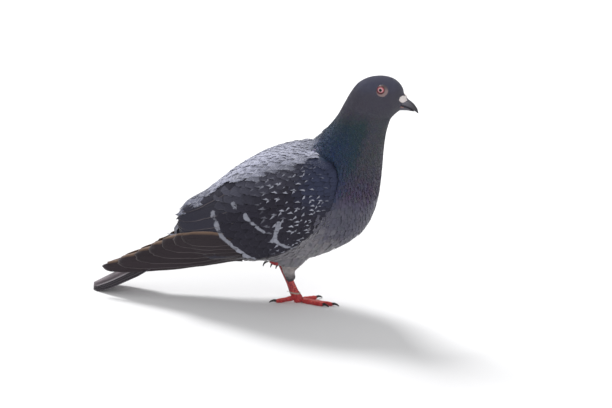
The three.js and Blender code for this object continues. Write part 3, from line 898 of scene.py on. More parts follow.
# ---- Flight feathers ----
# Tertials and secondaries in a stack behind the coverts, and seven long primaries that reach back over the
# tail. Each is a stiff broad vane on a strong shaft, and each lies partly under the one above it.
SECONDARIES = (
    ((-34, 137), (-110.5, 84), 8.8),
    ((-30, 114), (-112, 78), 9),
    ((-30, 99), (-111, 72), 8.8),
    ((-30, 86), (-109, 65.5), 8.4),
    ((-31, 75), (-106, 58.5), 8),
    ((-32, 66), (-102, 52), 7.4),
    ((-34, 59), (-97, 47), 6.8),
)  # root and tip from the side, and half width, in mm
PRIMARIES = (
    ((-40, 70), (-105, 61), 7),
    ((-42, 66), (-114, 58), 8),
    ((-43, 62), (-126, 53), 8.6),
    ((-44, 58), (-138, 46), 9),
    ((-45, 54.5), (-152, 38.5), 9),
    ((-46, 51.5), (-168, 31), 9),
    ((-47, 49), (-183.5, 24), 8),
)
flight_vane = Vane(8, 18)
flight_dark = srgb(48, 47, 59)
primary_brown = srgb(50, 42, 47)
# Painted light on the flight feathers' upper edges: lit slate, and a bronze glow of light through the
# primaries.
painted_bronze_glow = srgb(180, 146, 118)
lit_slate = srgb(176, 176, 188)
flight_material = vane_material(
    "flight_feather", 0.42, 70, sheen=0.1, shaft=0.2, fringe=0.5, fringe_colour=srgb(118, 110, 112),
    shade=0.92, side_rim=0.9, tip_rim=0.984,
)
tip_sheet = SideSheet("wing_left", "wing_tip_left")
tip_sheet.bottom -= 5 * MM
tip_sheet.top += 6 * MM
LOWERED = 3  # mm, of the tip of the left wing, which is hidden behind the right one
STACK = 0.32 * MM  # from one flight feather to the next in the stack


def strips(count):
    """Spots on the map of colours for a stack of long vanes, each of which has a strip of its own."""
    return np.stack((np.full(count, 0.5), (np.arange(count) + 0.5) / count), 1)


def thickened(piece, thickness):
    """Gives a piece's vanes their thickness, inwards from their faces."""
    thick = piece.modifiers.new("thickness", "SOLIDIFY")
    thick.thickness = thickness
    thick.offset = -1


def flight_feathers(name, table, shape, sheet, left, colour, seed, painted_light_colour, painted_light_shares, replaced=()):
    """A stack of flight feathers. The first lies outermost. Painted light pales their upper edges by their
    shares.
    """
    rng = np.random.default_rng(seed)
    numbers = np.array([(*root, *tip, half) for root, tip, half in table]) * MM
    roots, tips, half = numbers[:, :2], numbers[:, 2:4], numbers[:, 4]
    count = len(numbers)
    order = np.arange(count)[:, None]
    along, across = flight_vane.along, flight_vane.across
    height = 0.8 * MM - STACK * order - 2.4 * MM * (1 - along) ** 1.8 - 0.3 * MM * across**2
    bow = np.full(count, 0.8 * MM)
    corners = side_vanes(flight_vane, shape, sheet, left, roots, tips, half, bow, height, rng, 0.012)
    shares = np.array([*painted_light_shares, *[painted_light_shares[-1]] * count])[:count, None]
    # Painted light: each upper edge is blended towards the lit colour by its share.
    rim = ramp(-across if left else across, 0.5, 1)[None] * shares
    tone = colour * rng.uniform(0.9, 1.1, (count, 1, 1)) + (painted_light_colour - colour) * rim[..., None]
    marks = np.zeros(corners.shape)
    marks[..., 1] = near_bars(corners[..., (0, 2)])
    marks[..., 2] = rng.random((count, 1))
    piece = joined_vanes(
        name, "flight_feathers", flight_vane, corners, strips(count), tone, marks, flight_material,
        0.8 / count, replaced,
    )
    thickened(piece, 0.25 * MM)


BLUNT, TAPERED = (0.5, 0.5, 0.66, 0.1), (0.5, 0.5, 0.6, 0.05)
for side in ("left", "right"):
    left = side == "left"
    flight_feathers(
        f"secondaries_{side}", SECONDARIES, BLUNT, wing_sheet, left, flight_dark, 41, lit_slate, (0.9, 0.3, 0)
    )
    folded = [(root, (x, z - LOWERED * left), half) for root, (x, z), half in PRIMARIES]
    flight_feathers(
        f"primaries_{side}", folded, TAPERED, tip_sheet, left, primary_brown, 43, painted_bronze_glow,
        (0.5, 0.5, 0.55, 0.6, 0.6, 0.6, 0.5), (f"wing_tip_{side}",),
    )

# ---- Scapulars ----
# Larger pale feathers with soft pointed tips. They grow on the shoulder and lie over the upper edge of each
# wing, and the mantle lies between them.
PALE_EDGE = (
    (-84, -73, -58, -46, -33, -19, -7, 13, 29),
    (108, 112, 115.5, 120.5, 127, 133, 137, 143, 148),
)  # the height that their tips reach down to at these places
OVER_BACK = 7 * MM  # how far the uppermost lie inwards of the wing's edge
# The near-white fringe of these feathers is partly a pale worn edge and partly a painted highlight.
pale_vane = vane_material(
    "scapular_feather", 0.6, 18, sheen=0.3, shaft=0.08, fringe=0.35, fringe_colour=srgb(196, 197, 208),
    shade=0.74,
)
scapular_vane = Vane(6, 12)
for side in ("left", "right"):
    rng = np.random.default_rng(21 + len(side))
    tips, share = [], []
    for x in np.arange(-80, 18, 4) * MM:
        low = np.interp(x / MM, *PALE_EDGE) * MM
        high = np.interp(x, wing_sheet.columns, wing_sheet.top) + OVER_BACK
        number = max(int((high - low) / (3.6 * MM)), 1)
        for i in range(number):
            share.append((i + rng.uniform(0.1, 0.9)) / number)
            tips.append((x + rng.normal(0, 1.3) * MM, low + (high - low) * share[-1]))
    tips, share = np.array(tips), np.array(share)
    count = len(tips)
    x = tips[:, 0] / MM
    slope = np.interp(x, (-80, -54, -22, 18), (39, 31, 22, 22)) + 10 * (1 - share) + rng.normal(0, 4, count)
    slope = np.radians(slope)
    size = np.interp(x, (-80, 14), (25, 17)) * MM * rng.uniform(0.88, 1.12, count)
    roots = tips + np.stack((np.cos(slope), np.sin(slope)), 1) * size[:, None]
    along = scapular_vane.along
    height = 0.6 * MM - 1.8 * MM * (1 - along) ** 1.5 + rng.uniform(0, 0.5, (count, 1)) * MM * along
    height = height - 0.35 * MM * scapular_vane.across**2
    corners = side_vanes(
        scapular_vane, (0.5, 0.45, 0.12, 0.3), wing_sheet, side == "left", roots, tips, size * 0.17,
        rng.normal(0, 0.5, count) * MM, height, rng,
    )
    # Painted light: the scapulars are lighter the higher they lie over the wing, and darker at its lower
    # edge.
    light = rng.uniform(0.78, 1.12, count) * np.interp(share, (0, 0.3, 1), (0.72, 1.0, 1.25))
    order = np.arange(count)
    spots = np.stack((0.1 + 0.8 * (order % 20) / 20, 0.1 + 0.8 * (order // 20) * 20 / count), 1)
    joined_vanes(
        f"scapulars_{side}", "body_feathers", scapular_vane, corners, spots, SUNLIT_MANTLE_GREY * light[:, None],
        plain_marks(rng, count), pale_vane, 30 * MM,
    )

# ---- Mantle ----
# The pale feathers of the back. They bridge the valley between the folded wings and run from the base of the
# neck to the rump in one even dome.
BACK_COLUMNS = np.arange(-112, 48) * MM
BACK_ROWS = np.arange(-30, 31) * MM
back_hit = solid_tree("trunk", "neck", "wing_left", "wing_right")
dome = np.zeros((len(BACK_COLUMNS), len(BACK_ROWS), 1))
for i, x in enumerate(BACK_COLUMNS):
    for j, y in enumerate(BACK_ROWS):
        found = back_hit.ray_cast(Vector((x, y, 0.3)), Vector((0, 0, -1)))[0]
        dome[i, j] = found.z if found else 0
dome = np.maximum(dome, dome[:, ::-1])
rim_height = dome.max(1, keepdims=True)
rim_side = np.abs(BACK_ROWS[dome[..., 0].argmax(1)])
rim_side = np.where(BACK_COLUMNS > 6 * MM, 20 * MM * ramp(BACK_COLUMNS / MM, 32, 10), rim_side)
from_right = np.maximum.accumulate(dome, 1)
from_left = np.maximum.accumulate(dome[:, ::-1], 1)[:, ::-1]
filled = np.maximum(dome, np.minimum(from_right, from_left))
inside = np.clip(1 - (BACK_ROWS[None] / np.maximum(rim_side, 8 * MM)[:, None]) ** 2, 0, 1)[..., None]
dome = smoothed(np.maximum(filled + 1.5 * MM * inside, np.minimum(rim_height, 153 * MM) - 9 * MM), False, 6)
mantle_vane = Vane(6, 12)
rng = np.random.default_rng(81)
roots = []
for x in np.arange(-90, 28, 4) * MM:
    reach = np.interp(x, BACK_COLUMNS, rim_side) + 3 * MM
    number = max(int(2 * reach / (3 * MM)), 1)
    for i in range(number):
        roots.append((x + rng.normal(0, 1.2) * MM, ((i + rng.uniform(0.1, 0.9)) / number * 2 - 1) * reach))
roots = np.array(roots)
count = len(roots)


def height_over(heights, columns, rows, x, y):
    """The height of a field over columns and rows a millimetre apart, at these places."""
    a = np.clip((x - columns[0]) / MM, 0, len(columns) - 1.001)
    b = np.clip((y - rows[0]) / MM, 0, len(rows) - 1.001)
    i, j = a.astype(int), b.astype(int)
    fa, fb = a - i, b - j
    low = heights[i, j, 0] * (1 - fb) + heights[i, j + 1, 0] * fb
    high = heights[i + 1, j, 0] * (1 - fb) + heights[i + 1, j + 1, 0] * fb
    return low * (1 - fa) + high * fa


def over_field(field, roots, length, shape, rng, run, slender, fan, proud, dip, loose, droop):
    """Soft vanes laid back over a field of heights from their roots: how far forward, how far aside and how
    high each corner lies. They follow the field's slope over a run, and turn out by one radian for each fan
    that they are rooted off the middle. They stand proud, dip at their roots, lift at their tips by up to
    loose, in mm, and droop at their sides."""
    along, across = mantle_vane.along, mantle_vane.across
    count = len(roots)
    fall = height_over(*field, roots[:, 0], roots[:, 1]) - height_over(*field, roots[:, 0] - run, roots[:, 1])
    steep = np.hypot(1, fall / run)[:, None]
    size = (length * rng.uniform(0.88, 1.12, count))[:, None]
    x, y = mantle_vane.outline(shape)
    y = (y + 0.03 * ramp(along, 0.7, 1) * rng.uniform(-1, 1, (count, len(y)))) * size
    x = x * size * slender
    yaw = (rng.normal(0, 0.07, count) + roots[:, 1] / fan)[:, None]
    forward = roots[:, :1] - (y * np.cos(yaw) + x * np.sin(yaw)) / steep
    aside = roots[:, 1:] + y * np.sin(yaw) + x * np.cos(yaw)
    height = proud - dip * (1 - along) ** 1.5 + rng.uniform(0, loose, (count, 1)) * MM * along
    height = height - droop * across**2
    return forward, aside, height_over(*field, forward, aside) + height


length = np.interp(roots[:, 0] / MM, (-90, -50, 0, 38), (27, 24, 17, 10)) * MM
corners = np.stack(over_field(
    (dome, BACK_COLUMNS, BACK_ROWS), roots, length, (0.5, 0.45, 0.14, 0.3), rng, run=10 * MM, slender=0.18,
    fan=90 * MM, proud=1.2 * MM, dip=2.2 * MM, loose=0.5, droop=0.35 * MM,
), 2)
at = corners.mean(1)
tone = plumage(at + rng.normal(0, 2.5 * MM, at.shape)) * rng.uniform(0.85, 1.15, (count, 1))
# Painted sunlight: the mantle is lightened, most over the middle of the back and less towards the neck.
tone = tone * np.interp(at[:, 0] / MM, (-70, -40, 0, 16), (1.25, 1.5, 1.2, 0.95))[:, None]
x, y = roots.T / MM
spots = np.stack((0.05 + 0.9 * (y + 30) / 60, 0.05 + 0.9 * (x + 100) / 145), 1)
joined_vanes(
    "mantle", "body_feathers", mantle_vane, corners, spots, tone, plain_marks(rng, count), pale_vane, 12 * MM
)

# ---- Flank feathers ----
# Pale soft feathers of the belly and of the side of the breast. They lie over the lower and the front edge of
# each folded wing.
FLANK_EDGE = ((-66, 43), (-45, 43), (-24, 48), (8, 62), (17, 74), (29, 91), (40, 111), (42, 128))
flank_form = closed_form("flank_form", (*CORE, "wing_left", "wing_right"), 1.2 * MM)
flank = limb_lattice(tree_of(flank_form), middles, ups, sides, 144, 8, outside=True)
bpy.data.objects.remove(flank_form)
s, turn = scattered(flank[0], feather_length(flank[0]) * 0.27, 91)
at = on_lattice(flank[0], s, turn)
flat = at[:, (0, 2)]
off_edge = off_lines(flat, (FLANK_EDGE,))
edge_height = np.interp(flat[:, 0] / MM, *zip(*FLANK_EDGE[:-1])) * MM
below = (flat[:, 1] < edge_height) | (flat[:, 0] > 36 * MM)
kept = (off_edge < np.where(below, 9, 1.5) * MM) & (flat[:, 0] > -64 * MM) & (flat[:, 1] < 103 * MM)
drawn_foot = (at > np.array((-30, -22, 0)) * MM) & (at < np.array((-2, -3, 46)) * MM)
kept &= ~drawn_foot.all(axis=1)
s, turn, at = s[kept], turn[kept], at[kept]
count = len(s)
rng = np.random.default_rng(92)
length = feather_length(at) * rng.uniform(0.85, 1.15, count)
tone = plumage(at + rng.normal(0, 1, at.shape) * length[:, None] * 0.35) * rng.uniform(0.95, 1.05, (count, 1))
corners = laid(
    small_vane, (0.6, 0.45, 0.4, 0.25), flank, s, turn, length, length * 0.75, rng.normal(0, 0.1, count),
    length * 0.04, length * rng.uniform(0.06, 0.1, count), 0.04, rng,
)
joined_vanes(
    "flank_feathers", "body_feathers", small_vane, corners, lattice_spots(s, turn), tone,
    plain_marks(rng, count), plain_vane,
)

# ---- Tail ----
# Twelve folded tail feathers in an arched stack, mauve grey with a dark band near their tips. They are rooted
# in the rump and slope down to the ground, swung a little to the left.
TAIL_TIP = Vector((-193, 8, -0.8)) * MM
TAIL_SLOPE = math.radians(28)
TAIL_YAW = math.radians(4.5)
TAIL_LENGTH = 106 * MM
TAIL_FAN = {1: 1.6, -1: 2.3}  # mm, from each feather to the next on the left side and on the right
ARCH_RADIUS = 32 * MM  # of the stack, across it
ahead = Vector((
    math.cos(TAIL_SLOPE) * math.cos(TAIL_YAW),
    -math.cos(TAIL_SLOPE) * math.sin(TAIL_YAW),
    math.sin(TAIL_SLOPE),
))
leftward = Vector((math.sin(TAIL_YAW), math.cos(TAIL_YAW), 0))
upward = ahead.cross(leftward)
tail_vane = Vane(8, 18)
rng = np.random.default_rng(51)
x, y = tail_vane.outline((0.45, 0.5, 0.62, 0.05))
order = [pair for k in range(5, -1, -1) for pair in ((k, 1), (k, -1))]  # the outermost pair lies lowest
corners = np.zeros((len(order), len(x), 3))
tone = np.zeros(corners.shape)
tail_mauve = srgb(142, 131, 137)
tail_band_and_shade = srgb(58, 54, 60)
tail_edge = srgb(186, 180, 186)
tail_material = vane_material(
    "tail_feather", 0.42, 70, sheen=0.1, shaft=0.25, fringe=0.3, fringe_colour=srgb(128, 122, 128),
    shade=0.92, side_rim=0.9, tip_rim=0.985,
)
for i, (k, way) in enumerate(order):
    half = (11 if k == 0 else 9.4) * MM
    middle = way * (0.6 + TAIL_FAN[way] * k) * MM * (0.95 - 0.25 * tail_vane.along**3)
    across = middle + x * half
    along = (1 - y) * (TAIL_LENGTH - 0.5 * k * MM) + 1.1 * k * (way > 0) * MM
    arch = 3.6 * MM - across**2 / (2 * ARCH_RADIUS)
    rise = (3.4 - 0.75 * k - 0.2 * (way < 0)) * MM - 1.6 * MM * tail_vane.along + arch
    rise = rise + 2.2 * MM * (1 - tail_vane.along)
    place = np.array(TAIL_TIP) + np.outer(along, ahead) + np.outer(across, leftward)
    corners[i] = place + np.outer(rise, upward)
    band = 0.4 * ramp(tail_vane.along, 0.7, 0.8) * ramp(tail_vane.along, 0.97, 0.93)
    # The dark band near the tips is the feathers' own. The outer feathers on the right are wholly dark:
    # painted shade.
    dark = np.maximum(band, k > 2 and way < 0)[:, None]
    tone[i] = tail_mauve + (tail_band_and_shade - tail_mauve) * dark
    if k == 2 and way < 0:
        tone[i] += (tail_edge - tone[i]) * ramp(np.abs(tail_vane.across), 0.7, 1)[:, None]
corners[..., 2] = np.maximum(corners[..., 2], 0.3 * MM)
tail = joined_vanes(
    "tail_feathers", "tail_feathers", tail_vane, corners, strips(len(order)), tone,
    plain_marks(rng, len(order)), tail_material, 0.8 / len(order), ("tail",),
)
thickened(tail, 0.3 * MM)

# ---- Rump feathers ----
# Soft grey feathers that round off the rump between the wings. They are rooted in the skin and run out over
# the roots of the tail feathers.
RUMP_COLUMNS = np.arange(-28, 33) * MM
RUMP_ROWS = np.arange(-15, 16) * MM
tail_root = TAIL_TIP + ahead * TAIL_LENGTH
rump_hit = solid_tree("trunk", "tail")
drape = np.zeros((len(RUMP_COLUMNS), len(RUMP_ROWS), 1))
for i, forward in enumerate(RUMP_COLUMNS):
    for j, aside in enumerate(RUMP_ROWS):
        start = tail_root + ahead * forward + leftward * aside + upward * 80 * MM
        far = rump_hit.ray_cast(start, -upward)[3]
        drape[i, j] = 80 * MM - far if far else 0
rng = np.random.default_rng(61)
roots = []
for forward in np.arange(-12, 32, 3) * MM:
    half = np.interp(forward / MM, (-12, 0, 10), (4, 6, 11)) * MM
    for aside in np.linspace(-half, half, int(2 * half / (2.8 * MM)) + 1):
        roots.append((forward + rng.normal(0, 0.8) * MM, aside + rng.normal(0, 0.5) * MM))
roots = np.array(roots)
count = len(roots)
back, beside, height = over_field(
    (smoothed(drape, False, 3), RUMP_COLUMNS, RUMP_ROWS), roots, 13 * MM, (0.5, 0.45, 0.3, 0.3), rng,
    run=6 * MM, slender=0.3, fan=60 * MM, proud=0.8 * MM, dip=2.4 * MM, loose=0.4, droop=0.3 * MM,
)
corners = np.array(tail_root) + back[..., None] * np.array(ahead) + beside[..., None] * np.array(leftward)
corners = corners + height[..., None] * np.array(upward)
tone = np.array(RUMP_GREY) * rng.uniform(0.88, 1.12, (count, 1))
x, y = roots.T / MM
spots = np.stack((0.05 + 0.9 * (y + 15) / 30, 0.05 + 0.9 * (x + 18) / 52), 1)
joined_vanes(
    "rump_feathers", "body_feathers", mantle_vane, corners, spots, tone, plain_marks(rng, count), plain_vane,
    12 * MM,
)

# ---- Eyes ----
# Wet glassy balls. Each has a black pupil in a pink iris, which is pale round the pupil and dark at its rim,
# under a slightly bulging cornea.
EYE_RADIUS = 4.6 * MM
PUPIL = 1.42 * MM


def turned_about(side):
    """Turns a pole on +Z to point out of this side of the head."""
    return Matrix.Rotation(math.radians(-90 if side == "left" else 90), 4, "X")


def new_piece(name, made, material, slot, *replaced):
    """Makes a bmesh into a smooth piece of the bird."""
    bmesh.ops.recalc_face_normals(made, faces=made.faces)
    mesh = bpy.data.meshes.new(name)
    made.to_mesh(mesh)
    made.free()
    mesh.shade_smooth()
    mesh.materials.append(material)
    piece = bpy.data.objects.new(name, mesh)
    scene.collection.objects.link(piece)
    on_bird(piece, slot, *replaced)


def off_axis(tree, centre):
    """How far a place is from the line through a centre along Y, in metres."""
    node = wired(tree, "ShaderNodeMapping", own_place(tree), vector_type="POINT")
    node.inputs["Location"].default_value = (-centre.x, 0, -centre.z)
    node.inputs["Scale"].default_value = (1, 0, 1)
    return wired(tree, "ShaderNodeVectorMath", node.outputs[0], operation="LENGTH").outputs["Value"]


def ramp_of_colours(tree, value, stops):
    """Colours along a value, from stops of a place and a colour."""
    node = tree.nodes.new("ShaderNodeValToRGB")
    while len(node.color_ramp.elements) < len(stops):
        node.color_ramp.elements.new(0.5)
    for element, (place, colour) in zip(node.color_ramp.elements, stops):
        element.position = place
        element.color = (*colour, 1)
    tree.links.new(value, node.inputs[0])
    return node.outputs[0]


wet_eye, tree, shader = new_material("wet_eye")
far = off_axis(tree, EYE["left"])
from_pupil = calc(tree, "SUBTRACT", far, 0.25 * MM)
streaks = calc(tree, "MULTIPLY_ADD", coarse_noise(tree, 2600), 0.5 * MM, from_pupil)
iris = ramp_of_colours(tree, calc(tree, "DIVIDE", streaks, 4 * MM), (
    (0.30, srgb(6, 5, 6)),
    (0.36, srgb(206, 174, 178)),
    (0.46, srgb(206, 152, 158)),
    (0.6, srgb(196, 120, 128)),
    (0.74, srgb(164, 80, 90)),
    (0.84, srgb(78, 34, 40)),
    (0.92, srgb(20, 12, 12)),
))
pupil = spread(tree, far, PUPIL * 1.06, PUPIL * 0.96)
painted(
    tree, shader, blended(tree, pupil, iris, srgb(4, 4, 5)), Roughness=0.2, Specular_IOR_Level=0.1,
    Coat_Weight=0.5, Coat_Roughness=0.02,
)
CORNEA = 0.45 * MM  # how far it bulges in front of the ball
for side, middle in EYE.items():
    ball = bmesh.new()
    bmesh.ops.create_uvsphere(ball, u_segments=48, v_segments=32, radius=EYE_RADIUS)
    for vert in ball.verts:
        bulge = float(ramp(math.hypot(vert.co.x, vert.co.y) if vert.co.z > 0 else 1, 3.4 * MM, 0.6 * MM))
        vert.co.z += bulge * CORNEA
    bmesh.ops.transform(ball, matrix=Matrix.Translation(middle) @ turned_about(side), verts=ball.verts)
    new_piece(f"eyeball_{side}", ball, wet_eye, "eye_orange", f"eye_{side}")

# ---- Eyelids ----
# Round each eye a fine dark-red lid rim, and then a ring of bare wrinkled skin, pinkish beige, that runs out
# under the small feathers of the face.
head_hit = tree_of(whole_body)
lid_skin, tree, shader = new_material("lid_skin")
far = off_axis(tree, EYE["left"])
above = spread(tree, apart(tree, own_place(tree))[2], EYE["left"].z - 1.5 * MM, EYE["left"].z + 3 * MM)
beige = blended(tree, above, srgb(150, 127, 127), srgb(84, 74, 80))
rimmed = blended(tree, spread(tree, far, 4.2 * MM, 3.5 * MM), beige, srgb(92, 34, 32))
pits = coarse_noise(tree, 1700, 4)
painted(tree, shader, blended(tree, times(tree, pits, 0.5), rimmed, srgb(70, 60, 62)), Roughness=0.6)
relief(tree, shader, pits, 0.3 * MM)
LID_STEPS = 56  # round each ring
LID_RINGS = (
    (3.2, 0.36), (3.35, 0.6), (3.6, 0.6), (3.85, 0.3), (4.3, 0.22), (4.9, 0.1), (5.8, -0.4),
)  # the radius of each ring and how far it stands out, in mm
for side, middle in EYE.items():
    out = 1 if side == "left" else -1
    lids = bmesh.new()
    loops = []
    for radius, lift in LID_RINGS:
        ring = bmesh.ops.create_circle(lids, segments=LID_STEPS, radius=radius * MM)["verts"]
        share = (radius - LID_RINGS[0][0]) / (LID_RINGS[-1][0] - LID_RINGS[0][0])
        for vert in ring:
            angle = math.atan2(vert.co.y, vert.co.x)
            pinch = 1 - 0.07 * math.sin(angle) ** 2 * (1 - share)
            place = middle + Vector((vert.co.x, 0, vert.co.y * pinch)) + EYE_PATCH * share
            start = Vector((place.x, out * 30 * MM, place.z))
            found = head_hit.ray_cast(start, Vector((0, -out, 0)))[0]
            on_ball = EYE_RADIUS**2 - (place.x - middle.x) ** 2 - (place.z - middle.z) ** 2
            ball_y = middle.y + out * math.sqrt(max(on_ball, 0))
            face_y = found.y if found else ball_y
            blend = float(ramp(share, 0.05, 0.25))
            wrinkle = 0.06 * math.sin(angle * 17 + radius * 9) * float(share > 0.25)
            outermost = out * max(out * ball_y, out * face_y)
            y = ball_y * (1 - blend) + outermost * blend + out * (lift + wrinkle) * MM
            vert.co = Vector((place.x, y, place.z))
        loops.append(ring)
    for inner, outer in zip(loops, loops[1:]):
        for i in range(LID_STEPS):
            j = (i + 1) % LID_STEPS
            lids.faces.new((inner[i], inner[j], outer[j], outer[i]))
    new_piece(f"eyelids_{side}", lids, lid_skin, "head_feathers")


# ---- Bill ----
# Two horny halves, the upper hooked over the lower, with a soft chalky white cere over the nostrils and a
# fold of pink skin at each corner of the mouth.
def horn(name, base, tip, place, reach, roughness):
    """Horn that changes from one colour at a place to another towards the tip, with fine lengthwise grain."""
    made, tree, shader = new_material(name)
    where = own_place(tree)
    stretched = wired(tree, "ShaderNodeMapping", where)
    stretched.inputs["Scale"].default_value = (0.25, 1, 1)
    grain = wired(tree, "ShaderNodeTexNoise", stretched.outputs[0])
    grain.inputs["Scale"].default_value = 1600
    colour = blended(tree, spread(tree, apart(tree, where)[0], place, place + reach), base, tip)
    light = calc(tree, "MULTIPLY_ADD", grain.outputs["Fac"], 0.5, 0.75)
    painted(tree, shader, dimmed(tree, colour, light), Roughness=roughness)
    relief(tree, shader, grain.outputs["Fac"], 0.08 * MM)
    return made


def moulded(name, parts, voxel, swell, smoothing, material, slot, shift=None):
    """A closed form of some solids, as the piece of the bird that takes their place. shift may move its
    corners."""
    piece = closed_form(name, parts, voxel, swell, smoothing)
    places = corners_of(piece.data)
    if shift:
        shift(places)
    piece.data.vertices.foreach_set("co", places.ravel())
    piece.data.materials.append(material)
    on_bird(piece, slot, *parts)
    return piece


def set_back(places):
    """Sets the base of the bill back into the face."""
    places[:, 0] -= 3 * MM * ramp(places[:, 0], 99.5 * MM, 96 * MM)


bill_horn = horn("bill_horn", srgb(92, 90, 100), srgb(52, 50, 56), 98 * MM, 10 * MM, 0.38)
for name in ("upper_bill", "lower_bill"):
    moulded(f"{name}_horn", (name,), 0.22 * MM, 0.28 * MM, 16, bill_horn, "bill_horn", set_back)

chalky, tree, shader = new_material("chalky_cere")
grains = coarse_noise(tree, 1500, 4)
painted(
    tree, shader, blended(tree, spread(tree, grains, 0.3, 0.7), srgb(206, 196, 192), srgb(228, 222, 222)),
    Roughness=0.85, Subsurface_Weight=0.1, Subsurface_Radius=(0.002, 0.001, 0.001),
)
relief(tree, shader, grains, 0.12 * MM)
moulded("cere", ("cere_left", "cere_right"), 0.25 * MM, 0.35 * MM, 12, chalky, "cere_skin")

mouth_pink, tree, shader = new_material("mouth_pink")
pinks = blended(tree, coarse_noise(tree, 1500), srgb(150, 108, 106), srgb(186, 150, 146))
painted(tree, shader, pinks, Roughness=0.55)
# Near-black ellipsoids in the nostrils and in the gap of the mouth: painted shade inside the openings.
opening_shade_dark, tree, shader = new_material("opening_shade_dark")
painted(tree, shader, blended(tree, coarse_noise(tree, 1500), srgb(14, 12, 13), srgb(30, 26, 27)))
for name, material, place, size, tilt in (
    ("mouth_corners", mouth_pink, (94.6, 3.45, 192.8), (3.0, 0.6, 0.42), 14),
    ("nostrils", opening_shade_dark, (98.1, 2.95, 196.3), (1.9, 0.5, 0.4), 20),
    ("mouth_lining", opening_shade_dark, (98.4, 0.3, 191.2), (7.4, 2.2, 0.55), 19),
):
    folds = bmesh.new()
    for out in (1, -1):
        shape = Matrix.LocRotScale(
            Vector((place[0], out * place[1], place[2])) * MM,
            Matrix.Rotation(math.radians(tilt), 3, "Y") @ Matrix.Rotation(math.radians(-11 * out), 3, "Z"),
            Vector(size) * MM,
        )
        bmesh.ops.create_uvsphere(folds, u_segments=20, v_segments=12, radius=1, matrix=shape)
    new_piece(name, folds, material, "bill_horn" if name == "nostrils" else "cere_skin")

# ---- Thigh feathers ----
# The standing leg is feathered down to the heel with short pale down-like feathers. They are rooted all round
# the leg, and those at the heel are dark grey.
THIGH = ((-8.9, 5.4, 20.2), (-8.6, 6, 27), (-7.2, 6.9, 34), (-5.2, 7.8, 44.5))  # middle line, in mm
THIGH_STEPS = 60
thigh_line = through(THIGH, THIGH_STEPS) * MM
way = np.gradient(thigh_line, axis=0)
way /= np.linalg.norm(way, axis=1, keepdims=True)
thigh_sides = np.tile((0.0, 1.0, 0.0), (THIGH_STEPS, 1))
thigh_ups = np.cross(thigh_sides, way)
thigh_form = closed_form("thigh_form", ("thigh_left",), 0.6 * MM)
thigh = limb_lattice(tree_of(thigh_form), thigh_line, thigh_ups, thigh_sides, 60)
bpy.data.objects.remove(thigh_form)
THIGH_PALE = srgb(196, 190, 190)
THIGH_DARK = srgb(84, 82, 88)
THIGH_LENGTHS = ((19, 30, 50), (3, 5.5, 9))  # of feathers at these heights
length = np.interp(thigh[0][..., 2] / MM, *THIGH_LENGTHS) * MM
s, turn = scattered(thigh[0], length * 0.25, 61)
at = on_lattice(thigh[0], s, turn)
count = len(s)
rng = np.random.default_rng(62)
size = np.interp(at[:, 2] / MM, *THIGH_LENGTHS) * MM * rng.uniform(0.8, 1.2, count)
corners = laid(
    small_vane, (0.5, 0.45, 0.3, 0.3), thigh, s, turn, size, size * 0.62, rng.normal(0, 0.2, count),
    size * 0.15, size * rng.uniform(0.02, 0.12, count), 0.06, rng,
)
dark = ramp(at[:, 2], 31 * MM, 20 * MM)[:, None]
tone = (THIGH_PALE + (THIGH_DARK - THIGH_PALE) * dark) * rng.uniform(0.85, 1.1, (count, 1))
joined_vanes(
    "thigh_feathers", "thigh_feathers", small_vane, corners, lattice_spots(s, turn), tone,
    plain_marks(rng, count), plain_vane,
)

# ---- Feet ----
# Red scaly skin over the shank and toes, with broad overlapping scutes down their front and tops, and small
# round scales on the rest.
FLESH_GLOW = (0.002, 0.0008, 0.0006)  # how far red, green and blue light spread under the skin


def reddened(tree, low, high, noise, warm):
    """The red of a foot, from one colour at the toes to another up the shank, with warmer patches."""
    height = apart(tree, own_place(tree))[2]
    # Painted shade: the colour is darker and pinker up the shank, partly its own skin and partly shade under
    # the body.
    red = blended(tree, spread(tree, height, 5 * MM, 16 * MM), low, high)
    return blended(tree, spread(tree, coarse_noise(tree, noise), 0.35, 0.7), red, warm)


scaly, tree, shader = new_material("scaly_skin")
cells = wired(tree, "ShaderNodeTexVoronoi", own_place(tree), feature="DISTANCE_TO_EDGE")
cells.inputs["Scale"].default_value = 1150
crack = spread(tree, cells.outputs["Distance"], 0.0, 0.16)
patchy = reddened(tree, srgb(204, 48, 56), srgb(164, 62, 76), 500, srgb(226, 84, 80))
painted(
    tree, shader, blended(tree, crack, srgb(128, 32, 44), patchy), Roughness=0.42, Subsurface_Weight=0.08,
    Subsurface_Radius=FLESH_GLOW,
)
relief(tree, shader, crack, 0.3 * MM)
scute_skin, tree, shader = new_material("scute_skin")
along = apart(tree, wired(tree, "ShaderNodeUVMap", uv_map="vane").outputs[0])[1]
patchy = reddened(tree, srgb(218, 56, 58), srgb(170, 68, 82), 600, srgb(238, 112, 96))
edged = blended(tree, spread(tree, along, 0.75, 1), patchy, srgb(240, 168, 150))
# Painted shade: each plate is dark red at its root, where it lies under the plate before it.
edged = blended(tree, spread(tree, along, 0.3, 0.0), edged, srgb(120, 34, 40))
painted(tree, shader, edged, Roughness=0.36)
relief(tree, shader, coarse_noise(tree, 2200), 0.12 * MM)

TOES = ("hallux", "inner", "middle", "outer")
LEFT_FOOT = ("shank_left", *(f"toe_left_{toe}" for toe in TOES))
SCUTE_LINE = 40  # steps along a row


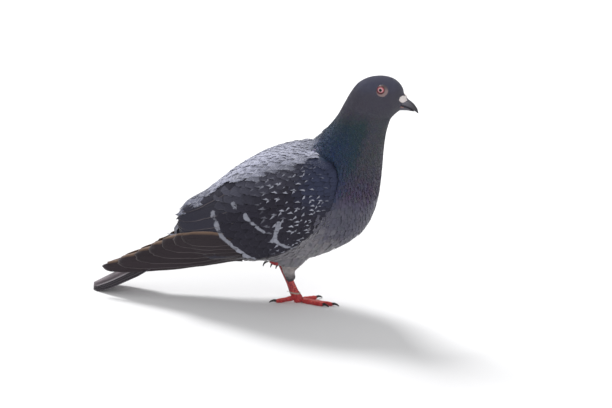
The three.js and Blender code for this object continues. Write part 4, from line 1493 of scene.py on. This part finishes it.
def scutes(name, form, lines, slot, seed):
    """Overlapping plates in a row along each line, from its far end inwards. A line is where the row starts
    and ends, the way that its plates face, and the width and length of a plate."""
    hit = tree_of(form)
    rng = np.random.default_rng(seed)
    plate = Vane(6, 3)
    placed, spots = [], []
    for row, (start, stop, facing, width, length) in enumerate(lines):
        line = np.linspace(start, stop, SCUTE_LINE)
        reach = np.linalg.norm(line[-1] - line[0])
        way = (line[-1] - line[0]) / reach
        side = np.cross(way, facing)
        side /= np.linalg.norm(side)
        up, side = (np.tile(across, (SCUTE_LINE, 1)) for across in (np.cross(side, way), side))
        lattice = limb_lattice(hit, line, up, side, 48, 1)
        number = max(int(reach / (length * 0.72)), 1)
        s = (np.arange(number) + 0.9) / number
        turn = rng.normal(0, 0.04, number)
        size = np.full(number, length)
        placed.append(laid(
            plate, (0.9, 0.4, 0.82, 0.12), lattice, s, turn, size, size * width / length, 0 * turn,
            size * 0.02 - 0.05 * MM, size * 0.1 + 0.05 * MM, 0.0, rng,
        ))
        spots += [((row + 0.5) / len(lines), (i + 0.5) / number) for i in range(number)]
    corners, spots = np.concatenate(placed), np.array(spots)
    whole = corners[..., 2].min(axis=1) > -0.4 * MM  # plates under the sole would reach into the ground
    corners, spots = corners[whole], spots[whole]
    corners[..., 2] = np.maximum(corners[..., 2], 0.2 * MM)
    blank = np.zeros((len(corners), 3))
    thickened(joined_vanes(name, slot, plate, corners, spots, blank, blank, scute_skin, 30 * MM), 0.15 * MM)


def on_ground(places):
    """Keeps a piece from going below the ground."""
    places[:, 2] = np.maximum(places[:, 2], 0)


foot_left = moulded("foot_left", LEFT_FOOT, 0.45 * MM, 0.22 * MM, 3, scaly, "foot_skin", on_ground)
BALL = np.array((0, 1.5, 2.4)) * MM  # where the toes meet
lines = []
for toe in TOES:
    end = np.array(middle_of(f"claw_left_{toe}"))
    end[2] = 2.0 * MM
    way = (end - BALL) / np.linalg.norm(end - BALL)
    start = BALL + way * 3.5 * MM
    start[2] = (4.4 if toe == "hallux" else 2.2) * MM
    lines.append((end - way * 4.4 * MM, start, np.array((0, 0, 1.0)), 4.2 * MM, 2.1 * MM))
SHANK = (np.array((-4.0, 2.5, 8.6)) * MM, np.array((-10.9, 4.9, 21.0)) * MM)
lines.append((*SHANK, np.array((0.9, -0.5, 0.3)), 5.0 * MM, 2.3 * MM))
scutes("scutes_left", foot_left, lines, "foot_skin", 71)


def drawn_up(places):
    """Tucks the right foot further up among the feathers."""
    places[:, 2] += 2.2 * MM * ramp(places[:, 0], -19 * MM, -11 * MM)


moulded("foot_right", RIGHT_TOES, 0.45 * MM, 0.15 * MM, 3, scaly, "foot_skin", drawn_up)

# ---- Claws ----
# Curved claws of black horn with a fine lengthwise grain. Each grows out of the end of its toe, and those of
# the standing foot rest on the ground.
claw_horn = horn("claw_horn", srgb(44, 40, 42), srgb(36, 33, 35), 0.0, 30 * MM, 0.3)
for side, toes in (("left", TOES), ("right", TOES[1:])):
    parts = tuple(f"claw_{side}_{toe}" for toe in toes)
    moulded(f"claws_{side}", parts, 0.25 * MM, 0.1 * MM, 2, claw_horn, "claw_horn", on_ground)

# ---- Thread ----
# A length of pale sewing thread that has caught round the leg. Its two plies are twisted together, and it is
# drawn tight in nearly three turns, with two short loose ends.
twine, tree, shader = new_material("twine")
fibres = coarse_noise(tree, 3200, 4)
painted(tree, shader, blended(tree, fibres, srgb(150, 140, 128), srgb(216, 208, 196)), Roughness=0.9)
relief(tree, shader, fibres, 0.1 * MM)
THREAD_TURNS = 2.7
THREAD_PITCH = 1.3 * MM  # from the lowest turn to the highest
THREAD_PLY = 0.13 * MM
THREAD_END = 5 * MM  # of each loose end
LEG_LEAN = Vector((-0.55, 0.19, 1))
TWIST = 0.42  # radians, from each place along the thread to the next
loop_middle = middle_of("thread_left")
leg = tree_of(foot_left)


def beside_leg(angle, rise):
    """A place where the thread lies on the leg, at an angle round it and a height over the middle."""
    middle = loop_middle + LEG_LEAN * rise
    way = Vector((math.cos(angle), math.sin(angle), 0))
    found = leg.ray_cast(middle, way)[0]
    return (found if found else middle + way * 3 * MM) + way * THREAD_PLY


route = []
STEPS = 300
for i in range(STEPS + 1):
    share = i / STEPS
    angle = share * THREAD_TURNS * TAU + 2.6
    route.append(beside_leg(angle, (share - 0.5) * THREAD_PITCH - 0.3 * MM * math.cos(angle)))
OUTWARD = (0.2, 0.4, 0.6, 0.8, 1)
first_end = [route[0] + Vector((-0.8, 0.3, -0.5 + 0.4 * t)) * THREAD_END * t for t in reversed(OUTWARD)]
last_end = [route[-1] + Vector((-0.6, -0.5, -0.2 - 0.5 * t)) * THREAD_END * t for t in OUTWARD]
route = np.array(first_end + route + last_end)
ways = np.gradient(route, axis=0)
ways /= np.linalg.norm(ways, axis=1, keepdims=True)
across = np.cross(ways, (0, 0, 1.0))
across /= np.linalg.norm(across, axis=1, keepdims=True)
twist = np.arange(len(route)) * TWIST
strands = bpy.data.curves.new("thread", "CURVE")
strands.dimensions = "3D"
strands.bevel_depth = THREAD_PLY
strands.bevel_resolution = 2
for ply in (0, math.pi):
    turn = (twist + ply)[:, None]
    line = route + THREAD_PLY * 0.9 * (across * np.cos(turn) + np.cross(across, ways) * np.sin(turn))
    strand = strands.splines.new("POLY")
    strand.points.add(len(line) - 1)
    for point, place in zip(strand.points, line):
        point.co = (*place, 1)
rope = bpy.data.objects.new("rope", strands)
scene.collection.objects.link(rope)
thread_mesh = bpy.data.meshes.new_from_object(rope.evaluated_get(bpy.context.evaluated_depsgraph_get()))
bpy.data.objects.remove(rope)
thread_mesh.name = "thread"
thread_mesh.materials.clear()
thread_mesh.materials.append(twine)
thread = bpy.data.objects.new("thread", thread_mesh)
scene.collection.objects.link(thread)
on_bird(thread, "thread", "thread_left")

bpy.data.objects.remove(whole_body)
